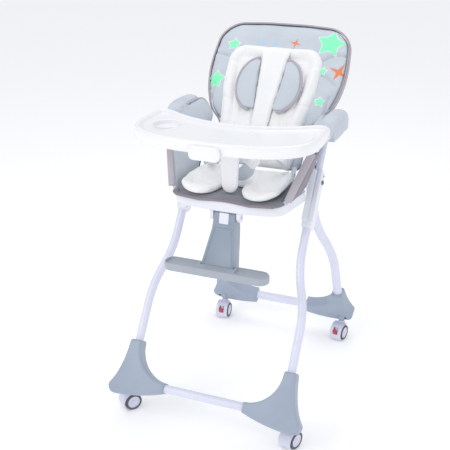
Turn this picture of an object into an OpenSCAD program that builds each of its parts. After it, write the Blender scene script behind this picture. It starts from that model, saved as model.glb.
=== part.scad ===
// Folding baby high chair on casters. Front of the chair faces -Y, up is +Z, the floor is z = 0.

/* [Front frame] */
// Backward lean of the front legs from vertical, degrees
front_lean = 35; // [33:0.5:36]
// Outer radius of the front leg tube
front_leg_r = 12; // [11.5:0.5:12.5]
// Half spacing of the front legs near the feet
front_foot_x = 227; // [222:1:230]
// Half spacing of the front legs above the bend
front_top_x = 188.5; // [187:0.5:190]
// Height of the front cross tube above the floor
front_bar_z = 118; // [114:1:122]

/* [Rear frame] */
// Outer radius of the rear leg tube
rear_leg_r = 14; // [12:0.5:14]
// Half spacing of the rear legs near the feet
rear_foot_x = 201; // [198:1:204]
// Half spacing of the rear legs at the fold pivot
rear_top_x = 155.5; // [154:0.5:156]
// Backward slope of the open rear legs from vertical, degrees
rear_lean = 24.2; // [23:0.2:25]
// Height of the fold pivot above the floor
pivot_z = 677; // [674:1:680]

/* [Casters] */
// Wheel diameter
wheel_d = 50; // [48:1:52]
// Overall width across the two wheels of a caster
caster_w = 44; // [42:1:46]
// Distance the wheels trail behind the swivel axis
caster_trail = 14; // [12:1:16]

/* [Seat] */
// Underside of the moulded seat pan
pan_z = 606; // [604:1:608]
// Thickness of the moulded seat pan
pan_h = 28; // [24:1:28]
// Backward lean of the backrest from vertical, degrees
back_lean = 38.3; // [37:0.1:39]
// Length of the backrest along its own plane
back_len = 470; // [460:1:475]

/* [Tray] */
// Top of the tray rim
tray_z = 831; // [829:1:833]
// Full width of the tray
tray_w = 500; // [490:1:504]
// Radius of the round cup recess in the tray
cup_r = 39; // [36:0.5:40]

/* [Hidden] */
$fn = 48;

centre_y = 13.7;            // moves the whole chair so that its footprint is centred on the origin
run = 0.05;                 // radial clearance of a running fit
tube_wall = 1.5;
rail_r = 10;                // seat rail, telescopes inside the front leg
front_leg_wall = front_leg_r - rail_r - run;
front_bar_y = -335;
front_bend = [222, 448];    // start and end of the S-bend, measured up the front leg
front_leg_s = [60, 668];    // lower and upper end of the front leg tube
housing_s = [505, 673];
rail_s = [556, 796];
button_s = 640;
pivot_y = front_bar_y + (pivot_z - front_bar_z) * tan(front_lean);
rear_bend = [183, 424];     // start and end of the S-bend, measured down the rear leg
rear_leg_s = [8, 590];
rear_bar_s = 637;
foot_t = 42;                // thickness of the moulded feet
stem_top = 88;              // height of the caster stems' upper end
socket_base = 66;
socket_top = 93;
stem_r = 4;
stem_base = 60;             // height at which the caster stems leave their collars
wheel_r = wheel_d / 2;
tyre_t = 6.5;
pan_top = pan_z + pan_h;
back_y = 25;                // the backrest's front face meets this line at its lower end
back_z = 655;
back_hinge = [37, 646];      // backrest hinge, y and z
back_pin_r = 4;
tray_skirt = 31;
tray_back_r = 335;          // radius of the scooped rear edge of the tray
arm_x = 224;                // centre line of the armrest
rail_bar = [16, 8];         // tray rail section
bar_z = 791.5;
foot_hinge = [-163, 588];   // footrest hinge, y and z

// [swivel x, swivel y, heading of the trailing side in degrees from -Y]
caster_fl = [-243, -283, -38];
caster_fr = [243, -283, -20];
caster_rl = [-210, 314, 4];
caster_rr = [210, 314, -12];

white = [0.93, 0.93, 0.96];
tube_white = [0.84, 0.85, 0.90];
grey = [0.60, 0.65, 0.72];
pale_grey = [0.74, 0.78, 0.83];
mauve = [0.55, 0.53, 0.57];
tyre_grey = [0.35, 0.37, 0.40];
red = [0.80, 0.16, 0.24];

function arc(cx, cy, rx, ry, a0, a1, n) =
    [for (i = [0:n]) let (a = a0 + (a1 - a0) * i / n) [cx + rx * cos(a), cy + ry * sin(a)]];

module placed() translate([0, centre_y, 0]) children();
module left() mirror([1, 0, 0]) children();
module on_front() translate([0, front_bar_y, front_bar_z]) rotate([-front_lean, 0, 0]) children();
module on_rear() translate([0, pivot_y, pivot_z]) rotate([180 + rear_lean, 0, 0]) children();
module on_back() translate([0, back_y, back_z]) rotate([-back_lean, 0, 0]) children();
module bar_x(x0, x1, r) translate([x0, 0, 0]) rotate([0, 90, 0]) cylinder(h = x1 - x0, r = r);
module box(a, b) translate(a) cube(b - a);

// S-bend in the XZ plane: straight at x0 up to s = bend[0], straight at x1 above s = bend[1]
module s_rod(x0, x1, bend, ends, r) {
    dx = x0 - x1;
    side = sign(dx);
    len = bend[1] - bend[0];
    turn = 2 * atan(abs(dx) / len);
    bend_r = len / (2 * sin(turn));
    translate([x0, 0, ends[0]]) cylinder(h = bend[0] - ends[0], r = r);
    translate([x1, 0, bend[1]]) cylinder(h = ends[1] - bend[1], r = r);
    translate([x0, 0, bend[0]]) mirror([side < 0 ? 1 : 0, 0, 0])
        translate([-bend_r, 0, 0]) rotate([90, 0, 0])
            rotate_extrude(angle = turn) translate([bend_r, 0]) circle(r = r);
    translate([x1, 0, bend[1]]) mirror([side < 0 ? 1 : 0, 0, 0])
        translate([bend_r, 0, 0]) rotate([90, 0, 0])
            rotate([0, 0, 180]) rotate_extrude(angle = turn) translate([bend_r, 0]) circle(r = r);
}

module s_tube(x0, x1, bend, ends, r, wall) difference() {
    s_rod(x0, x1, bend, ends, r);
    s_rod(x0, x1, bend, [ends[0] - 1, ends[1] + 1], r - wall);
}

// ---- Front frame ----

module front_leg() color(tube_white) on_front()
    s_tube(front_foot_x, front_top_x, front_bend, front_leg_s, front_leg_r, front_leg_wall);

module front_cross_tube() color(tube_white) on_front() difference() {
    bar_x(-132, 132, front_leg_r);
    bar_x(-133, 133, front_leg_r - tube_wall);
}

// Web-shaped foot: outline in the plane of the legs, [x, distance up the leg]
function front_foot_outline() = concat(
    arc(275, 415, 457, 457, -110.2, -92.5, 6),
    arc(260.5, -20, 21.5, 21.5, -80, 15, 6), [[245, 112], [241, 116], [214, 116], [211, 113]],
    arc(117, 111, 94, 97, 0, -90, 10));

module foot_slab(outline) rotate([90, 0, 0]) translate([0, 0, -foot_t / 2])
    linear_extrude(foot_t) polygon(outline);

module front_foot() color(grey) {
    boss_r = 11;
    difference() {
        union() {
            on_front() foot_slab(front_foot_outline());
            translate([caster_fr[0], caster_fr[1], socket_base])
                cylinder(h = socket_top - socket_base, r = boss_r);
            // low heel that carries the caster socket behind the slab
            translate([caster_fr[0] - boss_r, 0, 0]) rotate([90, 0, 90]) linear_extrude(2 * boss_r)
                polygon([[-345, 82], [-332, 72], [-283, 67], [-283, 93], [-322, 98]]);
        }
        on_front() bar_x(100, 132, front_leg_r);
        on_front() translate([front_foot_x, 0, front_leg_s[0]]) cylinder(h = 80, r = front_leg_r);
        translate([caster_fr[0], caster_fr[1], stem_base])
            cylinder(h = stem_top + 1 - stem_base, r = stem_r + run);
    }
}

// Two-channel sleeve around the top of the leg, with the ear for the fold pivot
module leg_housing() color(white) difference() {
    ear_s = (pivot_z - front_bar_z) / cos(front_lean);
    union() {
        on_front() {
            translate([172, -18, housing_s[0] + 20]) cube([33, 34, housing_s[1] - housing_s[0] - 20]);
            translate([174, -15, housing_s[0]]) cube([29, 40, 60]);
            translate([172, -12, housing_s[1] - 50]) cube([5.5, 26, 50]);
            translate([0, 0, ear_s]) bar_x(172, 177.5, 14);
        }
    }
    on_front() translate([front_top_x, 0, housing_s[0] - 1])
        cylinder(h = front_leg_s[1] - housing_s[0] + 1, r = front_leg_r);
    on_front() translate([front_top_x, 0, front_leg_s[1] - 1]) cylinder(h = 20, r = rail_r + 0.3);
    on_front() translate([189, -19, housing_s[0] + 32]) cube([2.5, 3.5, 130]);
    on_front() translate([0, 0, ear_s]) bar_x(160, 190, 5);
    on_front() translate([0, 0, button_s]) bar_x(201, 210, 6 + run);
}

module height_button() color(grey) on_front() translate([0, 0, button_s]) bar_x(204.2, 209.2, 6);

module fold_pins() color(tube_white) for (s = [-1, 1])
    translate([s * 160, pivot_y, pivot_z]) bar_x(s < 0 ? -17.5 : -19, s < 0 ? 19 : 17.5, 5);

// ---- Rear frame ----

module rear_leg() color(tube_white) difference() {
    union() {
        on_rear() s_tube(rear_top_x, rear_foot_x, rear_bend, rear_leg_s, rear_leg_r, tube_wall);
        translate([0, pivot_y, pivot_z]) bar_x(143, 168, 16);
    }
    translate([0, pivot_y, pivot_z]) bar_x(120, 180, 5 + run);
}

module rear_cross_tube() color(tube_white) on_rear() translate([0, 0, rear_bar_s]) difference() {
    bar_x(-104, 104, rear_leg_r);
    bar_x(-105, 105, rear_leg_r - tube_wall);
}

// The rear foot's outline is measured down the leg, so its mouth is at the smaller value
function rear_foot_outline() = concat(
    [[88, rear_bar_s + 16]], arc(176, 300, 360, 366, 104, 84, 6),
    arc(226, 640, 22, 22, 75, -15, 6), [[219, 547], [215, 543], [187, 543], [184, 546]],
    arc(88, 545, 96, 76, 0, 90, 10));

module rear_foot() color(grey) difference() {
    union() {
        on_rear() foot_slab(rear_foot_outline());
        translate([caster_rr[0], caster_rr[1], socket_base])
            cylinder(h = socket_top - socket_base, r = 13);
    }
    on_rear() translate([0, 0, rear_bar_s]) bar_x(70, 104, rear_leg_r);
    on_rear() translate([rear_foot_x, 0, 520]) cylinder(h = rear_leg_s[1] - 520, r = rear_leg_r);
    translate([caster_rr[0], caster_rr[1], stem_base])
        cylinder(h = stem_top + 1 - stem_base, r = stem_r + run);
    for (p = screw_places) on_rear() translate([p[0], foot_t / 2, p[1]])
        rotate([90, 0, 0]) cylinder(h = 4, r = 4);
}
screw_places = [[206, 645], [225, 651]];

module foot_screws() color(tyre_grey) for (side = [0, 1]) mirror([side, 0, 0])
    for (p = screw_places) on_rear() translate([p[0], foot_t / 2 - 1, p[1]])
        rotate([90, 0, 0]) cylinder(h = 3, r = 4);

// ---- Casters: swivel axis on the local Z axis, wheels trail towards local -Y ----

module at_caster(c) translate([c[0], c[1], 0]) rotate([0, 0, c[2]]) children();
module at_axle() translate([0, -caster_trail, wheel_r]) children();

module caster_hood(brake = false) color(white) difference() {
    cover = 3;
    gap = 1.5;
    union() {
        translate([0, 0, stem_base - 9]) cylinder(h = 9.5, r = 10);
        translate([0, 0, stem_base]) cylinder(h = stem_top - stem_base, r = stem_r);
        at_axle() {
            bar_x(-5.5, 5.5, 17);
            bar_x(-19, 19, 3);
            // curved cover over the wheels, open below and behind
            rotate([90, 0, 90]) translate([0, 0, -14]) linear_extrude(28) polygon(concat(
                arc(0, 0, wheel_r + gap + cover, wheel_r + gap + cover, 62, 212, 24),
                arc(0, 0, wheel_r + gap, wheel_r + gap, 212, 62, 24)));
            translate([-5.5, 0, 0]) rotate([90, 0, 90]) linear_extrude(11)
                polygon(concat([[0, 0]], arc(0, 0, wheel_r + gap + 1, wheel_r + gap + 1, 70, 205, 16)));
        }
        box([-5.5, -8, 30], [5.5, 9, 52]);
    }
    if (brake) at_axle() box([-8.3, -40, 2.7], [8.3, -20, 19.3]);
}

module caster_wheels() color(white) at_axle() for (s = [0, 1]) mirror([s, 0, 0]) difference() {
    bar_x(6.2, caster_w / 2 - 0.5, wheel_r - tyre_t);
    bar_x(5, 19.5, 3 + run);
}

module caster_tyres() color(tyre_grey) at_axle() for (s = [0, 1]) mirror([s, 0, 0]) difference() {
    rotate([0, 90, 0]) rotate_extrude() polygon(concat([[wheel_r - tyre_t, 7], [wheel_r - 2, 7]],
        arc(wheel_r - 2, 9, 2, 2, -90, 0, 4), arc(wheel_r - 2, caster_w / 2 - 2, 2, 2, 0, 90, 4),
        [[wheel_r - tyre_t, caster_w / 2]]));
}

module brake_pedal() color(red) at_axle() {
    box([-7.5, -32, 3.5], [7.5, -28, 18.5]);
    box([-3, -28, 8], [3, -22, 14]);
    translate([0, -30, 11]) bar_x(-7.5, 7.5, 3.5);
}

// ---- Seat ----

module seat_pan() color(white) difference() {
    half = concat([[0, -184]], [[70, -181], [120, -172], [146, -162], [157, -150], [176, -40], [176, -22]],
                  [[170, -17], [138, -17], [138, 45]]);
    outline = concat(half, [for (i = [len(half) - 1:-1:1]) [-half[i][0], half[i][1]]]);
    union() {
        translate([0, 0, pan_z]) linear_extrude(pan_h) polygon(outline);
        for (s = [-1, 1]) {
            translate([s * 106, back_hinge[0], back_hinge[1]]) bar_x(-6, 6, 10);
            box([s * 106 - 6, 27, pan_top - 4], [s * 106 + 6, 45, back_hinge[1]]);
            // hinge lugs of the footrest
            translate([s * 38, foot_hinge[0], foot_hinge[1]]) bar_x(-5, 5, 14);
            box([s * 38 - 5, foot_hinge[0] - 14, foot_hinge[1]], [s * 38 + 5, foot_hinge[0] + 14, pan_z + 4]);
        }
    }
    box([-130, -150, pan_z - 1], [130, 30, pan_top - 8]);
    translate([0, back_hinge[0], back_hinge[1]]) bar_x(-120, 120, back_pin_r);
    translate([0, foot_hinge[0], foot_hinge[1]]) bar_x(-44, 44, 4);
}

module footrest_pin() color(tube_white)
    translate([0, foot_hinge[0], foot_hinge[1]]) bar_x(-43, 43, 4);

module recline_pins() color(tube_white) for (s = [0, 1]) mirror([s, 0, 0])
    translate([0, back_hinge[0], back_hinge[1]]) bar_x(100, 123, back_pin_r);

module seat_rail() color(tube_white) on_front() translate([front_top_x, 0, rail_s[0]]) difference() {
    cylinder(h = rail_s[1] - rail_s[0], r = rail_r);
    translate([0, 0, -1]) cylinder(h = rail_s[1] - rail_s[0] + 2, r = rail_r - tube_wall);
}

// Cuts a side plate so that its front edge leans back from y = front at the seat
module leaned(front) intersection() {
    children();
    rotate([90, 0, 90]) translate([0, 0, 140]) linear_extrude(90) polygon([[front - 2, pan_top],
        [front, pan_top + 6], [front + 64, 744], [front + 90, 786.3], [-22, 790], [-22, pan_top]]);
}

// Armrest core: tray rail channel on top, rail socket below, side plate down to the seat pan
module armrest() color(pale_grey) difference() {
    union() {
        box([202, -10, 776], [246, 132, 806]);
        on_front() translate([front_top_x, 0, 778]) cylinder(h = 28, r = 13.5);
        box([190, 100, 780], [204, 132, 804]);
        // side plate, leaning outwards from the pan to the armrest
        leaned(-150) rotate([90, 0, 0]) translate([0, 0, 22]) linear_extrude(130)
            polygon([[150, pan_top], [158, pan_top], [170, 650], [212, 770], [212, 780], [203, 780],
                     [160, 652]]);
        box([203, -60, 776], [228, -8, 790]);
    }
    on_front() translate([front_top_x, 0, 760]) cylinder(h = rail_s[1] - 760, r = rail_r);
    slack = 0.5;
    box([arm_x - rail_bar[0] / 2 - slack, -140, bar_z - slack],
        [arm_x + rail_bar[0] / 2 + slack, 125, bar_z + rail_bar[1] + slack]);
}

module armrest_pad() color(pale_grey) difference() {
    translate([arm_x, 138, 0]) rotate([90, 0, 0]) linear_extrude(154) union() {
        translate([0, 810]) circle(r = 26);
        translate([-26, 788]) square([52, 22]);
    }
    box([201.6, -40, 770], [246.4, 200, 806.4]);
    box([180, 90, 770], [206, 200, 804.4]);
}

module side_panel() color(mauve) leaned(-153) rotate([90, 0, 0]) translate([0, 0, 25]) linear_extrude(130)
    polygon([[165, 640], [174, 640], [177.5, 650], [217, 762], [213.5, 766], [171, 649]]);

// Half of a seat layer's plan, mirrored; w is the front half width, notch cuts the crotch gap
module seat_layer(w, y0, y1, z, h) translate([0, 0, z]) linear_extrude(h)
    polygon(concat(arc(w - 25, y0 + 25, 25, 25, -90, 0, 5), [[w, -12], [134, -8], [134, y1]],
                   [[-134, y1], [-134, -8], [-w, -12]], arc(25 - w, y0 + 25, 25, 25, 180, 270, 5)));

module seat_cushion() color(grey) seat_layer(148, -172, 18, pan_top + 0.4, 7.2);

module seat_insert() color(white) difference() {
    seat_layer(140, -182, 16, pan_top + 8, 24);
    translate([0, 0, 630]) linear_extrude(60) union() {
        translate([0, -128]) circle(r = 34);
        translate([-34, -200]) square([68, 72]);
    }
}

module crotch_strap() color(grey) box([-24, -92, pan_top + 32.4], [24, -84, 699.8]);

module harness_buckle() color(white) box([-21, -98, 700.2], [21, -84, 740]);

module waist_straps() color(white) for (s = [0, 1]) mirror([s, 0, 0])
    translate([23, -88, 712]) rotate([0, 8, 38]) cube([108, 2, 24]);

// ---- Backrest: local X across, local Z up the panel, local +Y behind its front face ----

// Outline of the panel, inset all round by i
function back_outline(i) = let (
    side = [[138 - i, 16 + i], [138 - i, 140], [178 - i, 178], [194 - i, 214], [206 - i, 252], [213 - i, 300],
            [213 - i, 345]],
    corner = arc(125, 382, 85 - i, 85 - i, 12, 84, 8))
    concat(side, corner, [[60, back_len + 1 - i], [-60, back_len + 1 - i]],
           [for (k = [len(corner) - 1:-1:0]) [-corner[k][0], corner[k][1]]],
           [for (k = [len(side) - 1:-1:0]) [-side[k][0], side[k][1]]]);

module back_slab(outline, depth, h) on_back() translate([0, depth + h, 0]) rotate([90, 0, 0])
    linear_extrude(h) polygon(outline);

module backrest_shell() color(grey) {
    difference() {
        union() {
            back_slab(back_outline(9), 24.3, 12);
            for (s = [0, 1]) mirror([s, 0, 0]) {
                translate([0, back_hinge[0], back_hinge[1]]) bar_x(112.3, 123, 10);
                on_back() box([112.3, 5, 4], [123, 24.5, 40]);
            }
            on_back() box([-60, 36, 215], [60, 44, 262]);
        }
        for (s = [0, 1]) mirror([s, 0, 0])
            translate([0, back_hinge[0], back_hinge[1]]) bar_x(100, 130, back_pin_r + run);
        on_back() for (s = [-1, 1]) translate([s * 34, 40.5, 200])
            cylinder(h = 80, r = 3 + run);
    }
}

module backrest_cushion() color(pale_grey) difference() {
    back_slab(back_outline(0), 0.4, 23.5);
    for (s = [-1, 1]) on_back() box([s * 118 - 9, -2, -5], [s * 118 + 9, 30, 42]);
}

module back_insert() color(white) back_slab(concat(
    [[112, 48], [124, 60], [134, 156], [150, 250], [152, 320]],
    arc(96, 330, 56, 62, 0, 90, 8), arc(-96, 330, 56, 62, 90, 180, 8),
    [[-152, 320], [-150, 250], [-134, 156], [-124, 60], [-112, 48]]), -18, 18);

module head_pads() color(pale_grey) {
    for (s = [0, 1]) mirror([s, 0, 0]) back_slab(
        concat([[32, 182]], arc(42, 263, 66, 84, -80, 80, 14), [[46, 345]]), -34, 15.6);
    back_slab([[-29, 180], [29, 180], [41, 345], [-41, 345]], -24, 5.6);
}

module recline_handle() color(white) on_back() {
    difference() {
        box([-52, 36.4, 284], [52, 50, 312]);
        box([-34, 30, 292], [34, 60, 320]);
    }
    for (s = [-1, 1]) translate([s * 34, 40.5, 224]) cylinder(h = 62, r = 3);
}

// ---- Footrest ----

module footrest_post() color(grey) difference() {
    y0 = foot_hinge[0];
    z0 = foot_hinge[1];
    union() {
        intersection() {
            rotate([90, 0, 90]) translate([0, 0, -60]) linear_extrude(120)
                polygon([[y0 - 17, z0], [-184, 569], [-236, 462], [-236, 440], [-196, 440], [-146, 556], [y0 + 17, z0]]);
            rotate([90, 0, 0]) translate([0, 0, 120]) linear_extrude(160)
                polygon([[-31, 640], [-31, 569], [-48, 470], [-50, 440], [50, 440], [48, 470], [31, 569], [31, 640]]);
        }
        translate([0, y0, z0]) bar_x(-32, 32, 17);
    }
    translate([0, y0, z0]) bar_x(-40, 40, 4 + run);
    // sunk panel down the front face
    rotate([90, 0, 90]) translate([0, 0, -24]) linear_extrude(48)
        polygon([[-190, 560], [-230, 478], [-238, 478], [-238, 500], [-200, 575], [-184, 556], [-180.5, 556]]);
}

module footrest_plate() color(pale_grey) difference() {
    translate([0, 0, 440]) linear_extrude(30) polygon(concat(
        arc(124, -238, 26, 24, -90, 90, 12), arc(-124, -238, 26, 24, 90, 270, 12), [[-60, -265], [60, -265]]));
    box([-50.2, -236, 430], [50.2, -190, 480]);
}

// ---- Tray ----

// Outline of the tray, inset all round by i: superellipse front, scooped rear edge
function tray_outline(i) = let (
    rx = tray_w / 2 - i, ry = 150 - i, n = 2 / 2.6, cx = tray_w / 2 - 28, cy = -70, cr = 28 - i,
    front = [for (k = [0:24]) let (a = -180 + 180 * k / 24)
        [sign(cos(a)) * rx * pow(abs(cos(a)), n), -146 - ry * pow(abs(sin(a)), n)]],
    scoop = arc(0, 220, tray_back_r + i, tray_back_r + i, -90 + 36, -90 - 36, 14))
    concat(front, arc(cx, cy, cr, cr, 0, 100, 6), scoop, arc(-cx, cy, cr, cr, 80, 180, 6));

module tray() color(white) difference() {
    floor_z = tray_z - 9;
    union() {
        difference() {
            translate([0, 0, tray_z - tray_skirt]) linear_extrude(tray_skirt) polygon(tray_outline(0));
            translate([0, 0, tray_z - tray_skirt - 1]) linear_extrude(tray_skirt - 12) polygon(tray_outline(4));
        }
        translate([cup_place[0], cup_place[1], tray_z - 24]) cylinder(h = 14, r = cup_r + 3);
        box([-30, -296, tray_z - tray_skirt], [30, -284, tray_z - 12]);
    }
    translate([0, 0, floor_z]) linear_extrude(20) polygon(tray_outline(15));
    translate([cup_place[0], cup_place[1], tray_z - 21]) cylinder(h = 40, r = cup_r);
    for (s = [-1, 1]) translate([s * 20, -280, tray_z - 23]) rotate([90, 0, 0]) cylinder(h = 30, r = 3 + run);
}
cup_place = [-172, -152];

module tray_rails() color(white) for (s = [0, 1]) mirror([s, 0, 0]) {
    box([arm_x - rail_bar[0] / 2, -170, bar_z], [arm_x + rail_bar[0] / 2, 110, bar_z + rail_bar[1]]);
    box([arm_x - rail_bar[0] / 2, -170, bar_z + rail_bar[1]], [arm_x + rail_bar[0] / 2, -80, tray_z - 13]);
}

module crotch_post() color(white) rotate([90, 0, 0]) translate([0, 0, 131]) linear_extrude(15)
    polygon(concat([[30, tray_z - 13], [-30, tray_z - 13]], arc(0, 668, 22, 22, 180, 360, 16)));

module tray_release_lever() color(white) {
    rotate([90, 0, 0]) translate([0, 0, 296.6]) linear_extrude(9)
        polygon(concat(arc(32, 795, 10, 10, -90, 0, 5), arc(32, 814, 10, 10, 0, 90, 5),
                       arc(-32, 814, 10, 10, 90, 180, 5), arc(-32, 795, 10, 10, 180, 270, 5)));
    for (s = [-1, 1]) translate([s * 20, -284, tray_z - 23]) rotate([90, 0, 0]) cylinder(h = 13, r = 3);
}

placed() left() front_leg();  // front_leg_left
placed() front_leg();  // front_leg_right
placed() front_cross_tube();
placed() left() front_foot();  // front_foot_left
placed() front_foot();  // front_foot_right
placed() left() leg_housing();  // leg_housing_left
placed() leg_housing();  // leg_housing_right
placed() left() height_button();  // height_button_left
placed() height_button();  // height_button_right
placed() fold_pins();
placed() left() rear_leg();  // rear_leg_left
placed() rear_leg();  // rear_leg_right
placed() rear_cross_tube();
placed() left() rear_foot();  // rear_foot_left
placed() rear_foot();  // rear_foot_right
placed() foot_screws();
placed() at_caster(caster_fl) caster_hood();  // caster_hood_fl
placed() at_caster(caster_fr) caster_hood();  // caster_hood_fr
placed() at_caster(caster_rl) caster_hood(brake = true);  // caster_hood_rl
placed() at_caster(caster_rr) caster_hood(brake = true);  // caster_hood_rr
placed() at_caster(caster_fl) caster_wheels();  // caster_wheels_fl
placed() at_caster(caster_fr) caster_wheels();  // caster_wheels_fr
placed() at_caster(caster_rl) caster_wheels();  // caster_wheels_rl
placed() at_caster(caster_rr) caster_wheels();  // caster_wheels_rr
placed() at_caster(caster_fl) caster_tyres();  // caster_tyres_fl
placed() at_caster(caster_fr) caster_tyres();  // caster_tyres_fr
placed() at_caster(caster_rl) caster_tyres();  // caster_tyres_rl
placed() at_caster(caster_rr) caster_tyres();  // caster_tyres_rr
placed() at_caster(caster_rl) brake_pedal();  // brake_pedal_rl
placed() at_caster(caster_rr) brake_pedal();  // brake_pedal_rr
placed() seat_pan();
placed() left() seat_rail();  // seat_rail_left
placed() seat_rail();  // seat_rail_right
placed() left() armrest();  // armrest_left
placed() armrest();  // armrest_right
placed() left() armrest_pad();  // armrest_pad_left
placed() armrest_pad();  // armrest_pad_right
placed() left() side_panel();  // side_panel_left
placed() side_panel();  // side_panel_right
placed() seat_cushion();
placed() seat_insert();
placed() crotch_strap();
placed() waist_straps();
placed() harness_buckle();
placed() backrest_shell();
placed() backrest_cushion();
placed() back_insert();
placed() head_pads();
placed() recline_handle();
placed() recline_pins();
placed() footrest_pin();
placed() footrest_post();
placed() footrest_plate();
placed() tray();
placed() tray_rails();
placed() crotch_post();
placed() tray_release_lever();
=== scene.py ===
import math
import bmesh
import bpy
import numpy as np
from mathutils import Matrix, Vector
from mathutils.bvhtree import BVHTree


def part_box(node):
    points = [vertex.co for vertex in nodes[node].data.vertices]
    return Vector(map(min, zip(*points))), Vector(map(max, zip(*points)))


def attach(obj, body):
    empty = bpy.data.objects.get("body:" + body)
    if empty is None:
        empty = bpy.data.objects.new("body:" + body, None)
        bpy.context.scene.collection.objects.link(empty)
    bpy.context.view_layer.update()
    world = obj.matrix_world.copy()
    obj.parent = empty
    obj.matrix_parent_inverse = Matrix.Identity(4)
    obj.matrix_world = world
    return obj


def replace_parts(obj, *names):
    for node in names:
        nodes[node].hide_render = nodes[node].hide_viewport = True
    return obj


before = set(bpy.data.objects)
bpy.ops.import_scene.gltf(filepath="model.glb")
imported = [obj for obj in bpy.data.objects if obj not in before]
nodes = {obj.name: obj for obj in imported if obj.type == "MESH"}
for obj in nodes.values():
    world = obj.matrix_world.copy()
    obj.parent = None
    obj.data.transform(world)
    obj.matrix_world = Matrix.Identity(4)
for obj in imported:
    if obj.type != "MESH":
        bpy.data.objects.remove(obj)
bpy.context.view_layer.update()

# ---- Studio ----
# A pale floor that fades into a pale backdrop, one large soft key light from the front left,
# a fill from the right and a rim from above, as a catalogue shot is lit.
camera = bpy.data.objects.new("camera", bpy.data.cameras.new("camera"))
bpy.context.scene.collection.objects.link(camera)
bpy.context.scene.camera = camera
camera.data.lens = 66.36
camera.data.sensor_width = 36
camera.data.shift_x = -0.0475
azimuth, elevation, distance = math.radians(21.4), math.radians(23.15), 2.397
centre_y = (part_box("front_cross_tube")[0][1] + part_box("front_cross_tube")[1][1]) / 2 + 0.335
target = Vector((-0.0072, centre_y, 0.4949))
towards = Vector((math.sin(azimuth) * math.cos(elevation),
                  -math.cos(azimuth) * math.cos(elevation), math.sin(elevation)))
camera.location = target + distance * towards
camera.rotation_euler = (-towards).to_track_quat("-Z", "Y").to_euler()

bpy.context.scene.view_settings.view_transform = "Standard"
world = bpy.data.worlds.new("studio")
bpy.context.scene.world = world
world.use_nodes = True
backdrop = world.node_tree.nodes["Background"]
backdrop.inputs["Color"].default_value = (0.95, 0.96, 1.0, 1)
backdrop.inputs["Strength"].default_value = 0.76


def soft_light(name, place, size, power):
    lamp = bpy.data.objects.new(name, bpy.data.lights.new(name, "AREA"))
    lamp.data.size = size
    lamp.data.energy = power
    lamp.location = place
    lamp.rotation_euler = (Vector((0, 0, 0.55)) - Vector(place)).to_track_quat("-Z", "Y").to_euler()
    bpy.context.scene.collection.objects.link(lamp)


soft_light("key", (-1.6, -2.4, 2.6), 1.8, 26)
soft_light("fill", (2.4, -1.6, 1.4), 2.2, 9)
soft_light("top", (0.2, 1.0, 3.0), 2.0, 14)

floor_mesh = bmesh.new()
bmesh.ops.create_grid(floor_mesh, x_segments=1, y_segments=1, size=60)
floor = bpy.data.objects.new("floor", bpy.data.meshes.new("floor"))
floor_mesh.to_mesh(floor.data)
floor_mesh.free()
bpy.context.scene.collection.objects.link(floor)
floor_paint = bpy.data.materials.new("floor_paint")
floor_paint.use_nodes = True
floor_surface = floor_paint.node_tree.nodes["Principled BSDF"]
floor_surface.inputs["Base Color"].default_value = (0.9, 0.9, 0.9, 1)
floor_surface.inputs["Roughness"].default_value = 0.9
floor_surface.inputs["Emission Color"].default_value = (1, 1, 1, 1)
floor_surface.inputs["Emission Strength"].default_value = 0.22
floor.data.materials.append(floor_paint)

# ---- Frame tubes ----
# Two S-bent front legs and two S-bent rear legs of round steel tube, each pair joined by a straight
# cross tube. They are powder coated white with a faint violet cast, glossy enough for a long highlight.
BAR_LOW, BAR_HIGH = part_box("front_cross_tube")
REAR_LOW, REAR_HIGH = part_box("rear_cross_tube")
FRONT_LEAN = math.radians(35)
REAR_LEAN = math.radians(24.2)


def middle(low, high):
    return (Vector(low) + Vector(high)) / 2


def effect_group(name, inputs, outputs):
    """A shader node group with the named sockets; returns it with its input and output nodes."""
    group = bpy.data.node_groups.new(name, "ShaderNodeTree")
    for label, kind, value in inputs:
        socket = group.interface.new_socket(label, in_out="INPUT", socket_type=kind)
        if value is not None:
            socket.default_value = value
    for label, kind in outputs:
        group.interface.new_socket(label, in_out="OUTPUT", socket_type=kind)
    return group, group.nodes.new("NodeGroupInput"), group.nodes.new("NodeGroupOutput")


def node(tree, kind, inputs=(), **settings):
    """Adds a node, sets its fields, then sets or links the inputs given as (socket, value) pairs."""
    made = tree.nodes.new(kind)
    for field, value in settings.items():
        setattr(made, field, value)
    for socket, value in inputs:
        if isinstance(value, bpy.types.NodeSocket):
            tree.links.new(value, made.inputs[socket])
        else:
            made.inputs[socket].default_value = value
    return made


def clouded(tree, given, place, scale, detail, roughness, high, most):
    """Slow cloudy noise that mixes a group's Color towards its Shade; returns the noise and the mix."""
    cloud = node(tree, "ShaderNodeTexNoise", [("Vector", place.outputs["Object"]), ("Scale", scale),
                                              ("Detail", detail), ("Roughness", roughness)])
    amount = node(tree, "ShaderNodeMapRange", [("Value", cloud.outputs["Fac"]), ("From Min", 0.35),
                                               ("From Max", high), ("To Max", most)])
    mixed = node(tree, "ShaderNodeMix", [(0, amount.outputs["Result"]), (6, given.outputs["Color"]),
                                         (7, given.outputs["Shade"])], data_type="RGBA")
    return cloud.outputs["Fac"], mixed.outputs[2]


COLOUR, NUMBER = "NodeSocketColor", "NodeSocketFloat"

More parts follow.
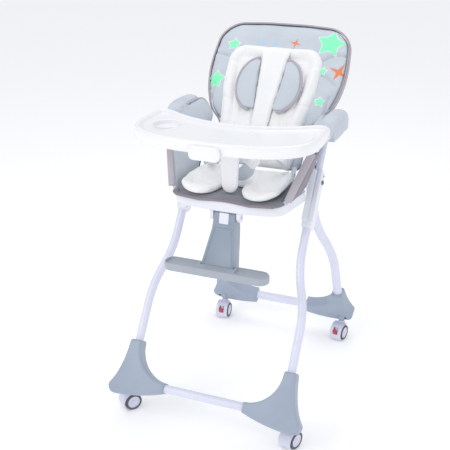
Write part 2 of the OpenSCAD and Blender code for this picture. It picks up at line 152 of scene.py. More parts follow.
# Fine orange peel and faint uneven tone, as on any painted or moulded surface.
surface_tone, given, result = effect_group(
    "surface_tone",
    [("Color", COLOUR, None), ("Shade", COLOUR, None), ("Roughness", NUMBER, 0.4), ("Grain", NUMBER, 900)],
    [("Color", COLOUR), ("Roughness", NUMBER), ("Height", NUMBER)])
place = node(surface_tone, "ShaderNodeTexCoord")
cloud, mixed = clouded(surface_tone, given, place, 9.0, 4.0, 0.6, 0.75, 0.5)
fine = node(surface_tone, "ShaderNodeTexNoise",
            [("Vector", place.outputs["Object"]), ("Scale", given.outputs["Grain"]), ("Detail", 2.0)])
rub = node(surface_tone, "ShaderNodeMapRange",
           [("Value", cloud), ("From Min", 0.3), ("From Max", 0.7), ("To Min", -0.05), ("To Max", 0.07)])
rough = node(surface_tone, "ShaderNodeMath",
             [(0, given.outputs["Roughness"]), (1, rub.outputs["Result"])], operation="ADD")
surface_tone.links.new(mixed, result.inputs["Color"])
surface_tone.links.new(rough.outputs[0], result.inputs["Roughness"])
surface_tone.links.new(fine.outputs["Fac"], result.inputs["Height"])


def linear(red, green, blue):
    """A colour given as 0 to 255 screen values, for a shader socket."""
    return tuple(((c / 255) / 12.92 if c <= 10 else ((c / 255 + 0.055) / 1.055) ** 2.4)
                 for c in (red, green, blue)) + (1.0,)


def shader(name, **constants):
    """A new material's tree and Principled BSDF, with the constants set on the shader's own sockets."""
    material = bpy.data.materials.new(name)
    material.use_nodes = True
    surface = material.node_tree.nodes["Principled BSDF"]
    for socket, value in constants.items():
        surface.inputs[socket.replace("_", " ")].default_value = value
    return material, material.node_tree, surface


def hard_finish(name, colour, shade, roughness, grain, bump, **constants):
    """A painted or moulded finish: surface_tone drives colour, roughness and a shallow bump."""
    material, tree, surface = shader(name, **constants)
    tone = node(tree, "ShaderNodeGroup", node_tree=surface_tone)
    tone.inputs["Color"].default_value = colour
    tone.inputs["Shade"].default_value = shade
    tone.inputs["Roughness"].default_value = roughness
    tone.inputs["Grain"].default_value = grain
    bumps = node(tree, "ShaderNodeBump", [("Height", tone.outputs["Height"]), ("Strength", bump),
                                          ("Distance", 0.0004)])
    tree.links.new(tone.outputs["Color"], surface.inputs["Base Color"])
    tree.links.new(tone.outputs["Roughness"], surface.inputs["Roughness"])
    tree.links.new(bumps.outputs["Normal"], surface.inputs["Normal"])
    return material


def paint_nodes(material, *names):
    """Gives CAD nodes a finish in place of the one they came with."""
    for name in names:
        nodes[name].data.materials.clear()
        nodes[name].data.materials.append(material)


powder_coat = hard_finish("powder_coat", linear(226, 228, 243), linear(210, 213, 232), 0.30, 1400, 0.12,
                          Coat_Weight=0.35, Coat_Roughness=0.12)
paint_nodes(powder_coat, "front_leg_left", "front_leg_right", "front_cross_tube", "rear_leg_left",
            "rear_leg_right", "rear_cross_tube", "seat_rail_left", "seat_rail_right")
zinc_plate = hard_finish("zinc_plate", linear(176, 180, 186), linear(150, 154, 160), 0.32, 700, 0.1,
                         Metallic=1.0)
paint_nodes(zinc_plate, "fold_pins", "recline_pins", "footrest_pin")

# ---- Feet ----
# Web-shaped feet injection moulded in blue-grey plastic: a thick rounded slab in the plane of the
# legs, which the leg and the cross tube run into, with a socket boss for the caster stem below.
FOOT_THICK = 0.042
SIDEWAYS = Matrix.Rotation(math.pi / 2, 4, "Z")          # turns an outline's first axis from X to Y
on_front = Matrix.Translation(middle(BAR_LOW, BAR_HIGH)) @ Matrix.Rotation(-FRONT_LEAN, 4, "X")
on_rear = Matrix.Translation(middle(REAR_LOW, REAR_HIGH)) @ Matrix.Rotation(REAR_LEAN, 4, "X")


def arc(centre, radii, start, end, steps):
    """Points along an arc or part of an ellipse, angles in degrees."""
    turn = [math.radians(start + (end - start) * i / steps) for i in range(steps + 1)]
    return [(centre[0] + radii[0] * math.cos(a), centre[1] + radii[1] * math.sin(a)) for a in turn]


def sweep(start, pull, end, steps=8):
    """Points along a curve from start to end, drawn towards pull; the first one is left out."""
    return [tuple(Vector(start) * (1 - t) ** 2 + Vector(pull) * 2 * t * (1 - t) + Vector(end) * t * t)
            for t in (k / steps for k in range(1, steps + 1))]


def slab(outline, thickness, rim, steps=4):
    """A blank cut to an outline in the XZ plane, centred on Y, with both its rims rounded over."""
    mesh = bmesh.new()
    blank = mesh.faces.new([mesh.verts.new((x, -thickness / 2, z)) for x, z in outline])
    grown = bmesh.ops.extrude_face_region(mesh, geom=[blank])["geom"]
    bmesh.ops.translate(mesh, vec=(0, thickness, 0),
                        verts=[v for v in grown if isinstance(v, bmesh.types.BMVert)])
    bmesh.ops.recalc_face_normals(mesh, faces=mesh.faces)
    rims = [e for e in mesh.edges if any(len(f.verts) > 4 for f in e.link_faces)]
    bmesh.ops.bevel(mesh, geom=rims, offset=rim, offset_type="OFFSET", affect="EDGES",
                    segments=steps, profile=0.5, material=-1, clamp_overlap=True)
    return mesh


def join_mesh(mesh, other, matrix=None):
    """Adds another bmesh's shape to this one, moved by matrix."""
    spare = bpy.data.meshes.new("spare")
    if matrix is not None:
        other.transform(matrix)
    other.to_mesh(spare)
    other.free()
    mesh.from_mesh(spare)
    bpy.data.meshes.remove(spare)


def make_piece(name, mesh, body, material, sharp=38):
    """Turns a bmesh into a finished piece: outward normals, smooth shading with sharp creases."""
    bmesh.ops.remove_doubles(mesh, verts=mesh.verts, dist=1e-6)
    bmesh.ops.recalc_face_normals(mesh, faces=mesh.faces)
    for face in mesh.faces:
        face.smooth = True
    for edge in mesh.edges:
        edge.smooth = edge.calc_face_angle(0) < math.radians(sharp)
    piece = bpy.data.objects.new(name, bpy.data.meshes.new(name))
    mesh.to_mesh(piece.data)
    mesh.free()
    bpy.context.scene.collection.objects.link(piece)
    piece.data.materials.append(material)
    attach(piece, body)
    return piece


def turned(profile, steps=40):
    """A solid of revolution about Z from (radius, height) points that start and end on the axis."""
    mesh = bmesh.new()
    line = [mesh.verts.new((r, 0, z)) for r, z in profile]
    edges = [mesh.edges.new(pair) for pair in zip(line, line[1:])]
    bmesh.ops.spin(mesh, geom=line + edges, axis=(0, 0, 1), cent=(0, 0, 0), angle=math.tau, steps=steps,
                   use_merge=True)
    bmesh.ops.remove_doubles(mesh, verts=mesh.verts, dist=1e-6)
    bmesh.ops.recalc_face_normals(mesh, faces=mesh.faces)
    return mesh


def carve(mesh, tool, operation="DIFFERENCE"):
    """Cuts the tool's shape out of a bmesh, or unites the two, and returns the result."""
    holders = []
    for shape in (mesh, tool):
        bmesh.ops.recalc_face_normals(shape, faces=shape.faces)
        holder = bpy.data.objects.new("holder", bpy.data.meshes.new("holder"))
        shape.to_mesh(holder.data)
        shape.free()
        bpy.context.scene.collection.objects.link(holder)
        holders.append(holder)
    boolean = holders[0].modifiers.new("carve", "BOOLEAN")
    boolean.operation = operation
    boolean.object = holders[1]
    boolean.solver = "EXACT"
    bpy.context.view_layer.update()
    result = bmesh.new()
    result.from_object(holders[0], bpy.context.evaluated_depsgraph_get())
    for holder in holders:
        spare = holder.data
        bpy.data.objects.remove(holder)
        bpy.data.meshes.remove(spare)
    return result


def mirrored(mesh):
    bmesh.ops.transform(mesh, matrix=Matrix.Scale(-1, 4, (1, 0, 0)), verts=mesh.verts)
    bmesh.ops.reverse_faces(mesh, faces=mesh.faces)
    return mesh


foot_plastic = hard_finish("foot_plastic", linear(164, 176, 192), linear(150, 162, 180), 0.42, 1500, 0.35)
front_foot_rim = (arc((0.275, 0.415), (0.457, 0.457), -110.2, -92.5, 8)
                  + arc((0.2605, -0.020), (0.0215, 0.0215), -80, 15, 8)
                  + sweep((0.2813, -0.0144), (0.2510, 0.0260), (0.2455, 0.1120))
                  + [(0.241, 0.116), (0.214, 0.116)]
                  + arc((0.117, 0.111), (0.094, 0.097), 0, -90, 14))
rear_foot_rim = (arc((0.176, 0.337), (0.360, 0.366), -104, -84, 8)
                 + arc((0.226, -0.003), (0.022, 0.022), -75, 15, 8)
                 + sweep((0.2472, 0.0027), (0.2260, 0.0360), (0.2190, 0.0900))
                 + [(0.215, 0.094), (0.187, 0.094)]
                 + arc((0.088, 0.092), (0.096, 0.076), 0, -90, 14))
SCREW_WELL = [(0, 0), (0.0042, 0), (0.0042, 0.0046), (0.0048, 0.0052), (0.0048, 0.009), (0, 0.009)]
QUARTER = Matrix.Rotation(math.pi / 2, 4, "X")           # turns an axis from Z to -Y
for end, plane, rim, swivel in (("front", on_front, front_foot_rim, (0.243, -0.283)),
                                ("rear", on_rear, rear_foot_rim, (0.210, 0.314))):
    for side in ("left", "right"):
        foot = slab(rim, FOOT_THICK, 0.007)
        for x, up in ((0.206, -0.008), (0.225, -0.014)) if end == "rear" else ():
            well = turned(SCREW_WELL, 28)
            well.transform(Matrix.Translation((x, -0.0162, up)) @ QUARTER)
            foot = carve(foot, well)
        foot.transform(plane)
        boss_r = 0.011 if end == "front" else 0.013
        boss = turned([(0, 0.066), (boss_r - 0.002, 0.066), (boss_r, 0.068), (boss_r, 0.093), (0, 0.093)])
        join_mesh(foot, boss, Matrix.Translation((swivel[0], swivel[1] + centre_y, 0)))
        if end == "front":
            web = slab([(-0.345, 0.082), (-0.332, 0.072), (-0.283, 0.067), (-0.283, 0.093),
                        (-0.322, 0.098)], 0.022, 0.002, 2)
            join_mesh(foot, web, Matrix.Translation((swivel[0], centre_y, 0)) @ SIDEWAYS)
        if side == "left":
            mirrored(foot)
        body = "front_frame" if end == "front" else "rear_frame"
        piece = make_piece(f"{end}_foot_{side}_moulding", foot, body, foot_plastic)
        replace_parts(piece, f"{end}_foot_{side}")
black_oxide = hard_finish("black_oxide", linear(52, 56, 66), linear(40, 43, 52), 0.4, 900, 0.2,
                          Metallic=0.6)
paint_nodes(black_oxide, "foot_screws")

# ---- Leg housings ----
# A two-strip plastic sleeve clamps the top of each front leg, its front face split by a long slit.
# Its lower block steps back and carries two rivets; a flat ear on the inner side takes the fold pin.
EAR_S = (middle(*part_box("fold_pins")).z - middle(BAR_LOW, BAR_HIGH).z) / math.cos(FRONT_LEAN)
FLAT = Matrix.Rotation(-math.pi / 2, 4, "X")             # lays an XZ outline down in the XY plane
TO_X = Matrix.Rotation(math.pi / 2, 4, "Y")              # turns an axis from Z to X
SHIFT = Matrix.Translation((0, centre_y, 0))


def rounded(points, radius, steps=4):
    """An outline with each corner eased by a curve that starts radius away from it."""
    eased = []
    for i, point in enumerate(points):
        corner = Vector(point)
        before = Vector(points[i - 1]) - corner
        after = Vector(points[(i + 1) % len(points)]) - corner
        start = corner + before.normalized() * min(radius, before.length * 0.48)
        end = corner + after.normalized() * min(radius, after.length * 0.48)
        for k in range(steps + 1):
            t = k / steps
            eased.append(tuple(start * (1 - t) ** 2 + corner * 2 * t * (1 - t) + end * t * t))
    return eased


def rect(x0, z0, x1, z1, radius, steps=4):
    return rounded([(x0, z0), (x1, z0), (x1, z1), (x0, z1)], radius, steps)


def dome(radius, height, base):
    """A low round head on the XY plane, from z = base up."""
    return turned([(0, base)] + [(radius, base), (radius, base + height * 0.3)]
                  + [(radius * math.cos(a), base + height * (0.3 + 0.7 * math.sin(a)))
                     for a in (0.5, 0.9, 1.25)] + [(0, base + height)], 20)


shell_plastic = hard_finish("shell_plastic", linear(238, 240, 247), linear(226, 228, 237), 0.36, 1300, 0.2,
                            Coat_Weight=0.15, Coat_Roughness=0.25)
button_plastic = hard_finish("button_plastic", linear(112, 119, 136), linear(98, 105, 121), 0.4, 1300, 0.2)
for side, flip in (("left", True), ("right", False)):
    sleeve = slab(rect(0.172, 0.525, 0.1893, 0.673, 0.005), 0.034, 0.003)
    join_mesh(sleeve, slab(rect(0.1912, 0.519, 0.205, 0.673, 0.005), 0.034, 0.003))
    join_mesh(sleeve, slab(rect(0.175, 0.528, 0.202, 0.670, 0.004), 0.028, 0.002),
              Matrix.Translation((0, 0.001, 0)))
    sleeve.transform(Matrix.Translation((0, -0.001, 0)))
    heel = rounded([(-0.013, 0.508), (0.014, 0.503), (0.025, 0.516), (0.025, 0.562), (0.014, 0.582),
                    (-0.015, 0.582), (-0.015, 0.516)], 0.006)
    join_mesh(sleeve, slab(heel, 0.029, 0.003), Matrix.Translation((0.1885, 0, 0)) @ SIDEWAYS)
    ear = [(-0.012, 0.623), (0.014, 0.623)] + arc((0, EAR_S), (0.014, 0.014), 0, 180, 18)
    join_mesh(sleeve, slab(ear, 0.0055, 0.001, 2), Matrix.Translation((0.17475, 0, 0)) @ SIDEWAYS)
    sleeve.transform(on_front)
    rivets = bmesh.new()
    for x, y, up, size in ((0.2028, 0.006, 0.524, 0.0042), (0.2028, 0.013, 0.552, 0.0042),
                           (0.2048, 0.006, 0.660, 0.0032)):
        join_mesh(rivets, dome(size, 0.0014, 0), Matrix.Translation((x, y, up)) @ TO_X)
    rivets.transform(on_front)
    button = turned([(0, 0.2042), (0.0058, 0.2042), (0.006, 0.2046), (0.006, 0.2084), (0.0055, 0.209),
                     (0.004, 0.2092), (0.0034, 0.2086), (0, 0.2084)], 32)
    button.transform(on_front @ Matrix.Translation((0, 0, 0.640)) @ TO_X)
    if flip:
        for mesh in (sleeve, rivets, button):
            mirrored(mesh)
    piece = make_piece(f"leg_housing_{side}_moulding", sleeve, "front_frame", shell_plastic)
    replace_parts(piece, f"leg_housing_{side}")
    make_piece(f"housing_rivets_{side}", rivets, "front_frame", black_oxide)
    piece = make_piece(f"height_button_{side}_cap", button, f"height_button_{side}", button_plastic)
    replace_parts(piece, f"height_button_{side}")

# ---- Casters ----
# Twin-wheel swivel casters: a white hood with a curved cover over the wheels, white hub discs in soft
# grey tyres, and on the rear pair a red rocker that presses on the tyres.
CASTERS = {"fl": (-0.243, -0.283, -38), "fr": (0.243, -0.283, -20), "rl": (-0.210, 0.314, 4),
           "rr": (0.210, 0.314, -12)}
AXLE = Matrix.Translation((0, -0.014, 0.025))


def ringed(profile, steps=48):
    """A ring of revolution about Z from a closed (radius, height) profile clear of the axis."""
    mesh = bmesh.new()
    loop = [mesh.verts.new((r, 0, z)) for r, z in profile]
    edges = [mesh.edges.new((a, b)) for a, b in zip(loop, loop[1:] + loop[:1])]
    bmesh.ops.spin(mesh, geom=loop + edges, axis=(0, 0, 1), cent=(0, 0, 0), angle=math.tau, steps=steps,
                   use_merge=True)
    bmesh.ops.remove_doubles(mesh, verts=mesh.verts, dist=1e-6)
    bmesh.ops.recalc_face_normals(mesh, faces=mesh.faces)
    return mesh


caster_plastic = hard_finish("caster_plastic", linear(222, 222, 238), linear(206, 207, 226), 0.32, 1200, 0.2,
                             Coat_Weight=0.15, Coat_Roughness=0.2)
tyre_rubber = hard_finish("tyre_rubber", linear(96, 101, 107), linear(84, 88, 94), 0.72, 1600, 0.5)
brake_plastic = hard_finish("brake_plastic", linear(206, 58, 80), linear(186, 44, 66), 0.34, 1200, 0.2,
                            Coat_Weight=0.2, Coat_Roughness=0.2)
for name, (x, y, heading) in CASTERS.items():
    at = Matrix.Translation((x, y + centre_y, 0)) @ Matrix.Rotation(math.radians(heading), 4, "Z")
    cover = slab(arc((0, 0), (0.0312, 0.0312), 58, 218, 36) + arc((0, 0), (0.0265, 0.0265), 218, 58, 36),
                 0.040, 0.0021, 3)
    cover.transform(AXLE @ SIDEWAYS)
    if name[0] == "r":
        window = slab(rect(-0.0083, 0.0012, 0.0083, 0.0228, 0.0015, 2), 0.030, 0.0005, 1)
        window.transform(AXLE @ Matrix.Translation((0, -0.030, 0)))
        cover = carve(cover, window)
    web = slab([(0.004, -0.004), (0.010, 0.006)] + arc((0, 0), (0.0275, 0.0275), 66, 208, 24)
               + [(-0.012, -0.008)], 0.011, 0.001, 2)
    join_mesh(cover, web, AXLE @ SIDEWAYS)
    neck = slab(rounded([(-0.012, 0.044), (0.012, 0.040), (0.0105, 0.0535), (-0.0105, 0.0535)], 0.003),
                0.020, 0.003)
    join_mesh(cover, neck, SIDEWAYS)
    join_mesh(cover, turned([(0, 0.050), (0.0100, 0.050), (0.0104, 0.052), (0.0100, 0.0595),
                             (0.0090, 0.0605), (0.0040, 0.0605), (0.0040, 0.0875), (0.0035, 0.088),
                             (0, 0.088)], 32))
    cover.transform(at)
    piece = make_piece(f"caster_hood_{name}_cover", cover, f"caster_{name}", caster_plastic)
    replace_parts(piece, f"caster_hood_{name}")
    hubs, tyres = bmesh.new(), bmesh.new()
    for half in (1, -1):
        hub = turned([(0, 0.0062), (0.0185, 0.0062), (0.0186, 0.0200), (0.0178, 0.0211), (0.0166, 0.0212),
                      (0.0156, 0.0198), (0.0080, 0.0190), (0.0072, 0.0196), (0.0068, 0.0206),
                      (0.0055, 0.0212), (0, 0.0214)], 44)
        tyre = ringed([(0.0184, 0.0070), (0.0230, 0.0070), (0.0245, 0.0080), (0.0250, 0.0100),
                       (0.0250, 0.0185), (0.0245, 0.0206), (0.0230, 0.0217), (0.0205, 0.0220),
                       (0.0184, 0.0214)])
        for shape in (hub, tyre):
            shape.transform(TO_X)
            if half < 0:
                mirrored(shape)
        join_mesh(hubs, hub)
        join_mesh(tyres, tyre)
    join_mesh(hubs, turned([(0, -0.0070), (0.0030, -0.0070), (0.0030, 0.0070), (0, 0.0070)], 20), TO_X)
    for shape, part, material, finish in ((hubs, "wheels", caster_plastic, "caster_plastic"),
                                          (tyres, "tyres", tyre_rubber, "tyre")):
        shape.transform(at @ AXLE)
        piece = make_piece(f"caster_{part}_{name}_pair", shape, f"wheels_{name}", material)
        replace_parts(piece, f"caster_{part}_{name}")
    if name[0] == "r":
        rocker = slab(rounded([(-0.0075, 0.0035), (0.0075, 0.0025), (0.0075, 0.0125), (0.0028, 0.0145),
                               (0.0028, 0.0215), (-0.0028, 0.0215), (-0.0028, 0.0145), (-0.0075, 0.0125)],
                              0.0018), 0.0050, 0.0012, 2)
        join_mesh(rocker, turned([(0, -0.0075), (0.0030, -0.0075), (0.0035, -0.0068), (0.0035, 0.0068),
                                  (0.0030, 0.0075), (0, 0.0075)], 24),
                  Matrix.Translation((0, 0, 0.011)) @ TO_X)
        rocker.transform(at @ AXLE @ Matrix.Translation((0, -0.0305, 0)))
        piece = make_piece(f"brake_pedal_{name}_rocker", rocker, f"brake_{name}", brake_plastic)
        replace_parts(piece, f"brake_pedal_{name}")

# ---- Seat pan ----
# A shallow moulded tray of satin white plastic, open below, with rounded shoulders. Lugs at its rear
# carry the backrest pins and two more under its front edge carry the footrest.
half_pan = [(0, -0.184), (0.070, -0.181), (0.120, -0.172), (0.146, -0.162), (0.157, -0.150), (0.176, -0.040),
            (0.176, -0.022), (0.170, -0.017), (0.138, -0.017), (0.138, 0.045)]
pan = slab(rounded(half_pan + [(-x, y) for x, y in half_pan[:0:-1]], 0.008), 0.028, 0.005)
under = max(pan.faces, key=lambda f: f.calc_center_median().y * (len(f.verts) > 4))
bmesh.ops.inset_region(pan, faces=[under], thickness=0.006, depth=0)
bmesh.ops.translate(pan, vec=(0, -0.021, 0), verts=under.verts)
pan.transform(Matrix.Translation((0, 0, 0.620)) @ FLAT)
for sign in (-1, 1):
    rear_lug = ([(0.027, 0.628), (0.045, 0.628), (0.047, 0.646)]
                + arc((0.037, 0.646), (0.010, 0.010), 0, 180, 14))
    join_mesh(pan, slab(rear_lug, 0.012, 0.0015, 2), Matrix.Translation((sign * 0.106, 0, 0)) @ SIDEWAYS)
    front_lug = ([(-0.149, 0.612), (-0.177, 0.612), (-0.177, 0.588)]
                 + arc((-0.163, 0.588), (0.014, 0.014), 180, 360, 18))
    join_mesh(pan, slab(front_lug, 0.010, 0.0015, 2), Matrix.Translation((sign * 0.038, 0, 0)) @ SIDEWAYS)
pan.transform(SHIFT)
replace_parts(make_piece("seat_pan_moulding", pan, "seat", shell_plastic), "seat_pan")

# ---- Footrest ----
# A tapering grey post hangs from the front of the seat and widens into a wide plate. The post's face
# has a long sunk panel under a small blank badge; the plate is a band with a pocket on each side.
post_side = ([(-0.184, 0.569), (-0.236, 0.464), (-0.236, 0.440), (-0.196, 0.440), (-0.146, 0.556)]
             + arc((-0.163, 0.588), (0.017, 0.017), -20, 185, 12))


def post_width(height):
    """Half the width of the footrest post at a height."""
    if height > 0.569:
        return 0.031
    return 0.031 + (0.569 - height) / 0.099 * 0.017 if height > 0.470 else 0.048


post = bmesh.new()
left, right = ([post.verts.new((sign * post_width(z), y, z)) for y, z in post_side] for sign in (-1, 1))
post.faces.new(left)
post.faces.new(right[::-1])
strips = [post.faces.new(corners) for corners in zip(left, right, right[1:] + right[:1], left[1:] + left[:1])]
bmesh.ops.recalc_face_normals(post, faces=post.faces)
bmesh.ops.inset_region(post, faces=[strips[0]], thickness=0.009, depth=0)
bmesh.ops.inset_region(post, faces=[strips[0]], thickness=0.0025, depth=-0.004)
creases = [e for e in post.edges if e.calc_face_angle(0) > math.radians(35)]
bmesh.ops.bevel(post, geom=creases, offset=0.0018, offset_type="OFFSET", affect="EDGES", segments=3,
                profile=0.5, material=-1, clamp_overlap=True)
post.transform(SHIFT)
# The post is the same blue-grey plastic as the feet, given a darker copy of that colour as painted shade on
# its face.
post_plastic_painted_shade = hard_finish("post_plastic_painted_shade", linear(150, 163, 178), linear(136, 149, 165), 0.32, 1500, 0.25,
                           Coat_Weight=0.2, Coat_Roughness=0.2)
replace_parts(make_piece("footrest_post_moulding", post, "footrest", post_plastic_painted_shade),
            "footrest_post")
plate_plastic = hard_finish("plate_plastic", linear(174, 181, 191), linear(160, 168, 179), 0.34, 1300, 0.3,
                            Coat_Weight=0.2, Coat_Roughness=0.2)
plate = slab(arc((0.124, -0.2395), (0.026, 0.0255), -90, 90, 14)
             + arc((-0.124, -0.2395), (0.026, 0.0255), 90, 270, 14), 0.023, 0.005)
plate.transform(Matrix.Translation((0, 0, 0.4585)) @ FLAT)
for sign in (-1, 1):
    x0, x1 = sorted((sign * 0.056, sign * 0.141))
    pocket = slab(rect(x0, -0.2585, x1, -0.2205, 0.010), 0.020, 0.003, 3)
    pocket.transform(Matrix.Translation((0, 0, 0.474)) @ FLAT)
    plate = carve(plate, pocket)
post_slot = slab(rect(-0.0490, -0.2365, 0.0490, -0.190, 0.002, 2), 0.050, 0.0005, 1)
post_slot.transform(Matrix.Translation((0, 0, 0.455)) @ FLAT)
plate = carve(plate, post_slot)
plate.transform(SHIFT)
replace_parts(make_piece("footrest_plate_moulding", plate, "footrest", plate_plastic, 30),
            "footrest_plate")
badge = slab(rect(-0.0135, -0.015, 0.0135, 0.015, 0.003), 0.0012, 0.0003, 1)
badge.transform(SHIFT @ Matrix.Translation((0, -0.1817, 0.5870)) @ Matrix.Rotation(math.radians(-12), 4, "X"))
make_piece("footrest_badge", badge, "footrest", shell_plastic)

# ---- Tray rails ----
# Two flat bars under the tray that slide in the armrests. They keep their engineered shape and only
# get the tray's finish.
tray_plastic = hard_finish("tray_plastic", linear(246, 246, 248), linear(238, 238, 243), 0.22, 1100, 0.08,
                           Coat_Weight=0.3, Coat_Roughness=0.1)
paint_nodes(tray_plastic, "tray_rails")

# ---- Tray ----
# A glossy white tray with a rounded rim, a shallow well, a round cup recess at the left and a deep
# scoop at the rear for the child. A flat post hangs from it between the legs.


def tray_ring(inset, height):
    """The tray's outline inset all round, at one height: superellipse front, scooped rear edge."""
    front = []
    for k in range(97):
        c, s = math.cos(math.pi * (1 + k / 96)), math.sin(math.pi * (1 + k / 96))
        front.append((math.copysign(abs(c) ** (2 / 2.6), c) * (0.25 - inset),
                      -0.146 - (0.15 - inset) * abs(s) ** (2 / 2.6)))
    corner, scoop = 0.028 - inset, 0.335 + inset
    line = (front + arc((0.222, -0.070), (corner, corner), 0, 100, 10)[1:]
            + arc((0, 0.220), (scoop, scoop), -54, -126, 48)
            + arc((-0.222, -0.070), (corner, corner), 80, 180, 10)[:-1])
    return [(x, y + centre_y, height) for x, y in line]


def loft(rings):
    """A skin through rings of equally many points, closed at both ends."""
    mesh = bmesh.new()
    loops = [[mesh.verts.new(p) for p in ring] for ring in rings]
    for low, high in zip(loops, loops[1:]):
        for i in range(len(low)):
            j = (i + 1) % len(low)
            mesh.faces.new((low[i], low[j], high[j], high[i]))
    mesh.faces.new(loops[0][::-1])
    mesh.faces.new(loops[-1])
    bmesh.ops.recalc_face_normals(mesh, faces=mesh.faces)
    return mesh


tray = loft([tray_ring(*level) for level in (
    (0.0268, 0.8190), (0.0250, 0.8190), (0.0075, 0.8185), (0.0045, 0.8150), (0.0035, 0.8012),
    (0.0028, 0.8003), (0.0012, 0.8003), (0.0002, 0.8020), (0.0000, 0.8200), (0.0006, 0.8245),
    (0.0024, 0.8280), (0.0052, 0.8302), (0.0090, 0.8310), (0.0122, 0.8302), (0.0146, 0.8280),
    (0.0166, 0.8250), (0.0190, 0.8230), (0.0250, 0.8220), (0.0268, 0.8220))])
bmesh.ops.triangulate(tray, faces=[f for f in tray.faces if len(f.verts) > 4])
cup_place = Matrix.Translation((-0.172, -0.152 + centre_y, 0))
cup = turned([(0, 0.807), (0.040, 0.807), (0.042, 0.809), (0.042, 0.8215), (0, 0.8215)], 64)
cup.transform(cup_place)
tray = carve(tray, cup, "UNION")
bore = turned([(0, 0.810), (0.034, 0.810), (0.0376, 0.8112), (0.039, 0.814), (0.039, 0.8205),
               (0.0398, 0.8216), (0.0415, 0.8224), (0.0415, 0.840), (0, 0.840)], 64)
bore.transform(cup_place)
tray = carve(tray, bore)
piece = make_piece("tray_moulding", tray, "tray", tray_plastic, 32)
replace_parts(piece, "tray")
hanger = slab([(0.030, 0.818), (-0.030, 0.818)] + arc((0, 0.668), (0.022, 0.022), 180, 360, 24), 0.015, 0.005)
hanger.transform(Matrix.Translation((0, -0.1385 + centre_y, 0)))
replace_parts(make_piece("crotch_post_moulding", hanger, "tray", tray_plastic), "crotch_post")
lever = slab(rect(-0.042, 0.785, 0.042, 0.8225, 0.015, 8), 0.010, 0.0045, 5)
lever.transform(Matrix.Translation((0, -0.301 + centre_y, 0)))
for sign in (-1, 1):
    join_mesh(lever, turned([(0, -0.012), (0.003, -0.012), (0.003, 0.004), (0, 0.004)], 20),
              Matrix.Translation((sign * 0.020, -0.291 + centre_y, 0.808)) @ QUARTER)
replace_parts(make_piece("tray_release_grip", lever, "tray_release", tray_plastic),
            "tray_release_lever")

# ---- Back board and recline handle ----
# A padded board covered in stretched grey cloth closes the backrest behind, with plastic hinge ears at
# its foot. The white U-shaped recline handle slides on two rods at its upper middle.
BACK_LEAN = math.radians(38.3)
on_back = Matrix.Translation((0, 0.025 + centre_y, 0.655)) @ Matrix.Rotation(-BACK_LEAN, 4, "X")


def back_rim(inset):
    """The backrest's outline in its own plane, inset all round: narrow waist, wide head."""
    half = ([(0.138 - inset, 0.016 + inset), (0.138 - inset, 0.140), (0.178 - inset, 0.178),
             (0.194 - inset, 0.214), (0.206 - inset, 0.252), (0.213 - inset, 0.300), (0.213 - inset, 0.345)]
            + arc((0.125, 0.382), (0.085 - inset, 0.085 - inset), 14, 84, 8) + [(0.060, 0.471 - inset)])
    return rounded(half + [(-x, z) for x, z in half[::-1]], 0.02, 6)


# Yarn crossing over and under: a colour and a height from two crossed sets of bands.
weave_tone, given, result = effect_group(
    "weave_tone",
    [("Color", COLOUR, None), ("Shade", COLOUR, None), ("Yarns", NUMBER, 700)],
    [("Color", COLOUR), ("Height", NUMBER)])
place = node(weave_tone, "ShaderNodeTexCoord")
yarn = [("Vector", place.outputs["Object"]), ("Scale", given.outputs["Yarns"]), ("Distortion", 0.6)]
warp, weft = (node(weave_tone, "ShaderNodeTexWave", yarn, bands_direction=axis) for axis in "XZ")
cross = node(weave_tone, "ShaderNodeMath", [(0, warp.outputs["Fac"]), (1, weft.outputs["Fac"])],
             operation="MULTIPLY")
mixed = clouded(weave_tone, given, place, 14.0, 5.0, 0.65, 0.72, 0.5)[1]
weave_tone.links.new(mixed, result.inputs["Color"])
weave_tone.links.new(cross.outputs[0], result.inputs["Height"])

# Pebbled grain of coated fabric: small rounded cells with a soft uneven tone.
grain_tone, given, result = effect_group(
    "grain_tone",
    [("Color", COLOUR, None), ("Shade", COLOUR, None), ("Cells", NUMBER, 900)],
    [("Color", COLOUR), ("Height", NUMBER)])
place = node(grain_tone, "ShaderNodeTexCoord")
cells = node(grain_tone, "ShaderNodeTexVoronoi",
             [("Vector", place.outputs["Object"]), ("Scale", given.outputs["Cells"])])
mixed = clouded(grain_tone, given, place, 11.0, 5.0, 0.6, 0.72, 0.7)[1]
grain_tone.links.new(mixed, result.inputs["Color"])
grain_tone.links.new(cells.outputs["Distance"], result.inputs["Height"])


def soft_finish(name, group, colour, shade, scale, bump, roughness, **constants):
    """A cloth or coated fabric: the group gives its colour and a shallow relief."""
    material, tree, surface = shader(name, Roughness=roughness, **constants)
    tone = node(tree, "ShaderNodeGroup", node_tree=group)
    tone.inputs["Color"].default_value = colour
    tone.inputs["Shade"].default_value = shade
    tone.inputs[2].default_value = scale
    bumps = node(tree, "ShaderNodeBump", [("Height", tone.outputs["Height"]), ("Strength", bump),
                                          ("Distance", 0.0006)])
    tree.links.new(tone.outputs["Color"], surface.inputs["Base Color"])
    tree.links.new(bumps.outputs["Normal"], surface.inputs["Normal"])
    return material


